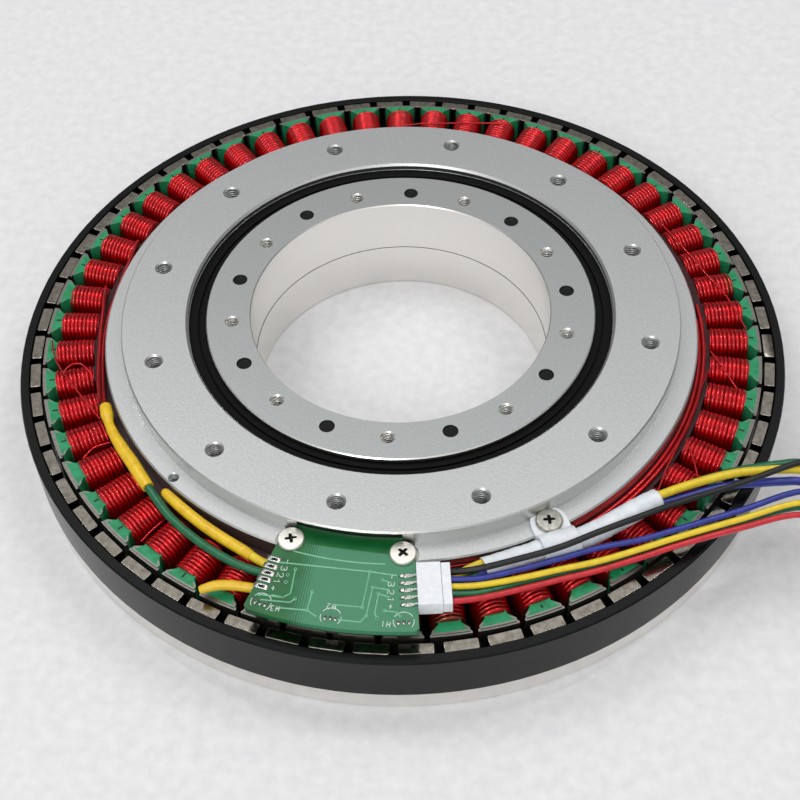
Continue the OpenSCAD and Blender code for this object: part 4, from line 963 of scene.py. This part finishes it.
strokes = {
    "-": [[(0.1, 0.5), (0.9, 0.5)]],
    "+": [[(0.1, 0.5), (0.9, 0.5)], [(0.5, 0.25), (0.5, 0.75)]],
    "1": [[(0.25, 0.8), (0.55, 1), (0.55, 0)]],
    "2": [[(0.1, 0.8), (0.35, 1), (0.7, 1), (0.9, 0.75), (0.8, 0.5), (0.1, 0), (0.95, 0)]],
    "3": [[(0.1, 0.9), (0.4, 1), (0.75, 0.98), (0.9, 0.77), (0.7, 0.54), (0.4, 0.54)],
          [(0.7, 0.54), (0.93, 0.28), (0.75, 0.02), (0.4, 0), (0.1, 0.12)]],
    "H": [[(0.1, 0), (0.1, 1)], [(0.9, 0), (0.9, 1)], [(0.1, 0.5), (0.9, 0.5)]]}
GLYPH_WIDTH = 0.9
GLYPH_HEIGHT = 1.45
GLYPH_STEP = 1.3
PAD_GLYPH = 1.5
pad_marks = [
    ("-", -13.6, 86.4), ("3", -14, 88.4), ("2", -14.5, 90.4), ("1", -15, 92.3), ("+", -15.4, 94.4),
    ("-", 12.5, 86.7), ("3", 12.7, 88.9), ("2", 13, 91.1), ("1", 13.3, 93.2), ("+", 13.6, 95.2)]
sensor_marks = [("H3", -12.6, 99.2), ("H2", 0.7, 96.6), ("H1", 14.4, 99.4)]
HALL_ANGLES = (-10, 0, 10)
HALL_ARC_MIDDLE = 100.2
HALL_ARC_RADIUS = 2.5
HALL_ARCS = ((-150, -30), (-10, 40), (140, 190))
TRACK_DEPTH = 0.12
TRACK_RADIUS = 0.27
INNER_TRACK = (84, 83, 99)
RIM_RADIUS = 0.36
RIM_WIRE = 0.14
RIM_STEPS = 12
INK_RADIUS = 0.1


def on_board(x, y, lift=0.0):
    return turned_by(BOARD_ANGLE, y, x, BOARD_TOP + lift)


def board_arc(x, y, radius_mm, first, last, steps=16):
    angles = [math.radians(first + (last - first) * i / steps) for i in range(steps + 1)]
    return [on_board(x + radius_mm * math.cos(a), y + radius_mm * math.sin(a)) for a in angles]


def board_lines(name, lines, wire_radius_mm, finish):
    settle(wires(name, lines, wire_radius_mm, 6, finish), finish)


track_lines = [[on_board(x, y, -TRACK_DEPTH) for x, y in route] for route in track_routes]
track_lines.append([point - up(TRACK_DEPTH) for point in board_arc(0, 0, *INNER_TRACK)])
board_lines("board_tracks", track_lines, TRACK_RADIUS, board_track)
rims = [board_arc(x, y, RIM_RADIUS, 0, 360, RIM_STEPS) for x, y in plated_holes]
board_lines("board_plated_holes", rims, RIM_WIRE, board_track)
print_lines = []
for hall_angle in HALL_ANGLES:
    hall_x = HALL_ARC_MIDDLE * math.sin(math.radians(hall_angle))
    hall_y = HALL_ARC_MIDDLE * math.cos(math.radians(hall_angle))
    for first, last in HALL_ARCS:
        print_lines.append(board_arc(hall_x, hall_y, HALL_ARC_RADIUS,
                                     first - hall_angle, last - hall_angle))
for text, x, y in sensor_marks:
    for number, letter in enumerate(text):
        for stroke in strokes[letter]:
            print_lines.append([on_board(x - number * GLYPH_STEP - u * GLYPH_WIDTH,
                                         y + v * GLYPH_HEIGHT) for u, v in stroke])
for letter, x, y in pad_marks:
    for stroke in strokes[letter]:
        print_lines.append([on_board(x + (v - 0.5) * PAD_GLYPH, y + (u - 0.5) * PAD_GLYPH)
                            for u, v in stroke])
board_lines("board_print", print_lines, INK_RADIUS, board_ink)

# %% [markdown]
# Solder is drawn up to a smooth, slightly lumpy mound by its own surface tension. Each mound is a
# low dome of rings with a little seeded wobble: long ones on the header's feet and round ones
# where the sensors' legs come through. The five bare pads on the left are tinned plates with a
# drilled slot, for a second cable that this motor doesn't use. Black plates low in these slots and
# in the plated holes are painted shade.
# %% Solder and pads
MOUND_RINGS, MOUND_SIDES = 5, 14
MOUND_SUNK = 0.05
MOUND_UNEVEN = 0.07
MOUND_LUMPS = 0.16
FOOT_SOLDER = ((-2.3, 4.4, 1.35, 0.42), (-3.4, 1.9, 1.2, 0.72), (-1.1, 1.5, 1.25, 0.66))
HALL_SOLDER = (1.7, 1.0, 0.55)
PLATE_SIDES = 20
PLATE_ROUNDING = 0.35
PLATE_SUNK = 0.02
PAD_SIZE, PAD_SLOT, PAD_HEIGHT = (3.8, 1.55), (1.0, 0.65), 0.14
SLOT_SHADE, HOLE_SHADE, SHADE_GAP, SHADE_HEIGHT = (1.05, 0.7), (0.5, 0.5), (0.01, 0.01), 0.05
MOUND_SEED = 7
HALL_LEG_RADIUS = 100.65
HALL_LEG_PITCH = 1.27
shaky = random.Random(MOUND_SEED)


def mound(middle, along, length, width, height):
    side = up(1).cross(along)
    points = [middle + up(height)]
    for ring in range(1, MOUND_RINGS + 1):
        out = ring / MOUND_RINGS
        for turn in whole_turn(MOUND_SIDES):
            reach = out * (1 + shaky.uniform(-MOUND_UNEVEN, MOUND_UNEVEN))
            lumps = 1 + shaky.uniform(-MOUND_LUMPS, MOUND_LUMPS)
            rise = height * math.sqrt(max(0, 1 - out * out)) * lumps
            points.append(middle + along * reach * length / 2 * math.cos(turn)
                          + side * reach * width / 2 * math.sin(turn) + up(rise - MOUND_SUNK))
    return points, dome_faces(MOUND_RINGS, MOUND_SIDES)


def slotted_plate(x, y, size, slot, height):
    middle = on_board(x, y, -PLATE_SUNK)
    side = up(1).cross(pad_along)
    points = []
    for (reach, span), lift in ((size, 0), (size, height), (slot, height), (slot, 0)):
        for turn in whole_turn(PLATE_SIDES):
            u, v = [math.copysign(abs(way) ** PLATE_ROUNDING, way)
                    for way in (math.cos(turn), math.sin(turn))]
            points.append(middle + pad_along * u * reach / 2 + side * v * span / 2 + up(lift))
    return points, wall_faces(4, PLATE_SIDES, closed=True)


def solid_piece(name, shapes, finish):
    points, faces = [], []
    for some_points, some_faces in shapes:
        faces += [tuple(len(points) + i for i in face) for face in some_faces]
        points += [p * MM for p in some_points]
    return settle(placed(name, mesh_of(name, points, faces)), finish)


edge_along = (at_edge(90, 1, 0) - at_edge(90, 0, 0)).normalized()
mounds = []
for way in range(len(WAY_COLOURS)):
    for reach, *size in FOOT_SOLDER:
        mounds.append(mound(at_edge(way_radius(way), reach, BOARD_TOP), edge_along, *size))
for hall_angle in HALL_ANGLES:
    tangent = turned_by(BOARD_ANGLE + hall_angle, 0, 1, 0)
    middle = polar(BOARD_ANGLE + hall_angle, HALL_LEG_RADIUS, BOARD_TOP)
    for pin in (-1, 0, 1):
        leg = middle + tangent * pin * HALL_LEG_PITCH
        mounds.append(mound(leg, tangent.cross(up(1)), *HALL_SOLDER))
solid_piece("board_solder_joints", mounds, tinned_pins)

pad_row = [(-17.0, 86.1), (-17.35, 88.2), (-17.7, 90.2), (-18.05, 92.1), (-18.4, 94.2)]
pad_along = (on_board(0.989, 0.146) - on_board(0, 0)).normalized()
solid_piece("board_bare_pads",
            [slotted_plate(x, y, PAD_SIZE, PAD_SLOT, PAD_HEIGHT) for x, y in pad_row],
            tinned_pins)
# Painted shade: black plates sit low in the slots and plated holes, where the holes are dark.
solid_piece("board_hole_shade",
            [slotted_plate(x, y, size, SHADE_GAP, SHADE_HEIGHT)
             for size, places in ((SLOT_SHADE, pad_row), (HOLE_SHADE, plated_holes))
             for x, y in places],
            black_fastener)

# %% [markdown]
# A screw head of this kind is pressed, not turned: a low dome with a rounded rim and a cross
# driven into it. A disc of rings and spokes is lifted to that height, point by point, and the
# shank below closes the shape. The cross is narrow and deep, so hardly any light comes out of it,
# and its deeper faces take a black finish as painted shade.
# %% Screws on the ledge
SCREW_RADIUS = 81.2
HEAD_D = 6.9
HEAD_T = 1.25
CROSS_DEPTH = 0.95
SHANK_D = 2.9
SHANK_TIP = 23.5
CLIP_TOP = 29.0
CLIP_ANGLE = -61.5
SCREW_APART = 10
HEAD_RINGS, HEAD_SPOKES = 34, 88
DOME_FALL = 0.16
RIM_STARTS = 0.88
RIM_FALL = 0.4
CROSS_REACH = 1.5
CROSS_END = 0.16
CROSS_HALF = 0.33
CROSS_FLARE = 0.14
CROSS_SLOPE = 0.1
CROSS_SHADE_FROM = 0.3


def cross_depth(x, y):
    arm, other = max(abs(x), abs(y)), min(abs(x), abs(y))
    half = CROSS_HALF + CROSS_FLARE * (1 - arm / CROSS_REACH)
    inside = min(1.0, max(0.0, (half - other) / CROSS_SLOPE))
    reach = min(1.0, max(0.0, (CROSS_REACH - arm) / CROSS_END))
    return CROSS_DEPTH * inside * reach


def head_height(x, y):
    out = math.hypot(x, y) / (HEAD_D / 2)
    rim = max(0.0, (out - RIM_STARTS) / (1 - RIM_STARTS))
    return HEAD_T * (1 - DOME_FALL * out * out - RIM_FALL * rim ** 2) - cross_depth(x, y)


def cross_screw(angle_degrees, turn_degrees, seat_z):
    middle = polar(angle_degrees, SCREW_RADIUS, 0)
    spokes = whole_turn(HEAD_SPOKES)
    points = [middle + up(seat_z + head_height(0, 0))]
    for ring in range(1, HEAD_RINGS + 1):
        out = HEAD_D / 2 * ring / HEAD_RINGS
        for around in spokes:
            x, y = out * math.cos(around), out * math.sin(around)
            points.append(middle + turned_by(turn_degrees, x, y, 0)
                          + up(seat_z + head_height(x, y)))
    for out, z in ((HEAD_D / 2, seat_z), (SHANK_D / 2, seat_z), (SHANK_D / 2, SHANK_TIP)):
        for around in spokes:
            spot = around + math.radians(turn_degrees)
            points.append(middle + Vector((out * math.cos(spot), out * math.sin(spot), z)))
    return points, dome_faces(HEAD_RINGS + 3, HEAD_SPOKES)


def domed_screws(name, places, seat_z, finish, node):
    piece = solid_piece(name, [cross_screw(*place, seat_z) for place in places], finish)
    # The second, black finish is painted shade on the deep faces of the cross.
    piece.data.materials.append(black_fastener)
    for face in piece.data.polygons:
        for angle_degrees, turn_degrees in places:
            off = face.center / MM - polar(angle_degrees, SCREW_RADIUS, 0)
            x, y, _ = turned_by(-turn_degrees, off.x, off.y, 0)
            if off.z > BOARD_TOP - 0.5 and cross_depth(x, y) > CROSS_SHADE_FROM:
                face.material_index = 1
    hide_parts(node)


board_places = [(BOARD_ANGLE - SCREW_APART, 12), (BOARD_ANGLE + SCREW_APART, 50)]
domed_screws("board_screws_domed", board_places, BOARD_TOP, bright_screw, "board_screws")
domed_screws("clip_screw_domed", [(CLIP_ANGLE, 5)], CLIP_TOP, dull_screw, "clip_screw")

# %% [markdown]
# A sharp edge never catches light, and no real edge is that sharp. The rigid pieces with square
# corners are copied, their triangles merged back to flat faces, and their edges rounded by a
# bevel.
# %% Softened edges
MERGE_WITHIN = 0.002 * MM
FLAT_WITHIN = math.radians(1)
EDGE_FROM = math.radians(30)

for node, material, body, width_mm in (
        ("magnets_north", magnet_nickel, "rotor", 0.22),
        ("magnets_south", magnet_nickel, "rotor", 0.22),
        ("board_connector", connector_white, "stator", 0.15),
        ("connector_plug", connector_white, "stator", 0.15),
        ("cable_clip", nylon_white, "stator", 0.12)):
    mesh = cad_nodes[node].data.copy()
    mesh.name = node + "_softened"
    shape = bmesh.new()
    shape.from_mesh(mesh)
    bmesh.ops.remove_doubles(shape, verts=shape.verts, dist=MERGE_WITHIN)
    bmesh.ops.dissolve_limit(shape, angle_limit=FLAT_WITHIN, verts=shape.verts, edges=shape.edges)
    shape.to_mesh(mesh)
    shape.free()
    piece = placed(node + "_softened", mesh)
    bevel = piece.modifiers.new("edge", "BEVEL")
    bevel.width = width_mm * MM
    bevel.segments = 2
    bevel.limit_method = "ANGLE"
    bevel.angle_limit = EDGE_FROM
    bevel.harden_normals = True
    settle(piece, material, body, [node])

# %% [markdown]
# The rest of the solids keep their own mesh, because their form is already right. They only need
# their finish.
# %% Paint the solids
painted = {
    housing_aluminium: ["stator_housing"],
    rotor_aluminium: ["rotor_base_plate", "hub_ring"],
    back_iron: ["rotor_back_iron_ring"],
    black_fastener: ["hub_screws", "bearing_snap_ring"],
    bearing_steel: ["bearing_inner_race", "bearing_outer_race", "bearing_balls"],
    cage_polymer: ["bearing_cage"],
    seal_rubber: ["bearing_seal_top", "bearing_seal_bottom"],
    insulating_coat: ["stator_core", "core_insulation"],
    enamelled_copper: ["winding_bundle_right"],
    circuit_board: ["sensor_board"],
    sensor_black: ["hall_sensor_1", "hall_sensor_2", "hall_sensor_3"],
    tinned_pins: ["header_pins"]}
for material, names in painted.items():
    for node in names:
        slots = cad_nodes[node].data.materials
        slots.clear()
        slots.append(material)

# %% [markdown]
# A plain pale surface and a soft studio round the motor. Metal needs something to mirror: the sky
# is bright overhead and dims steeply towards the horizon, so a flat face that mirrors its lower
# part is darker than one that mirrors the part overhead. It is also a little brighter on the left,
# and low down in front, as where a room has its windows. Two narrow lamps give the coils their
# rows of small highlights, and a wider one in front lights the bevels and the threads.
# %% Floor and light
floor_finish = finish_of(
    "pale_surface", "#eae9ea", "#dfdee0", 3.5, grain, 2.5, 0.12, Roughness=0.6)
FLOOR_M = 2
floor_mesh = bpy.data.meshes.new("floor")
corners = [(FLOOR_M * x, FLOOR_M * y, 0) for x, y in ((-1, -1), (1, -1), (1, 1), (-1, 1))]
floor_mesh.from_pydata(corners, [], [(0, 1, 2, 3)])
floor_mesh.materials.append(floor_finish)
floor = placed("floor", floor_mesh)

world = bpy.data.worlds.new("studio")
world.use_nodes = True
scene.world = world
sky = world.node_tree
sky.nodes.clear()
direction = add(sky, "ShaderNodeTexCoord").outputs["Generated"]
x, y, z = add(sky, "ShaderNodeSeparateXYZ", {0: direction}).outputs
low_down = ramp(sky, y, -0.9, 0.1, low=0.8, high=0.25)
overhead = ramp(sky, z, 0.58, 0.88, low=low_down, high=1.2)
leftward = ramp(sky, x, -1.0, 1.0, low=1.1, high=0.9)
strength = calc(sky, "MULTIPLY", overhead, leftward)
background = add(sky, "ShaderNodeBackground", {"Color": "#fbfcfc", "Strength": strength})
add(sky, "ShaderNodeOutputWorld", {0: background})

for name, place_m, size_m, watts in (
        ("long_lamp_left", (-0.5, 0.35, 1.1), (0.02, 0.5), 1.6),
        ("long_lamp_right", (0.45, 0.25, 1.1), (0.02, 0.5), 1.4),
        ("front_lamp", (-0.25, -0.85, 0.8), (0.4, 0.25), 2.2)):
    light = bpy.data.lights.new(name, "AREA")
    light.shape = "RECTANGLE"
    light.size, light.size_y = size_m
    light.energy = watts
    lamp = placed(name, light)
    lamp.location = place_m
    lamp.rotation_euler = (-Vector(place_m)).to_track_quat("-Z", "Y").to_euler()

# %% [markdown]
# Last, the colours are shown as they are written, with no tone curve.
# %% Colour view
scene.view_settings.view_transform = "Standard"
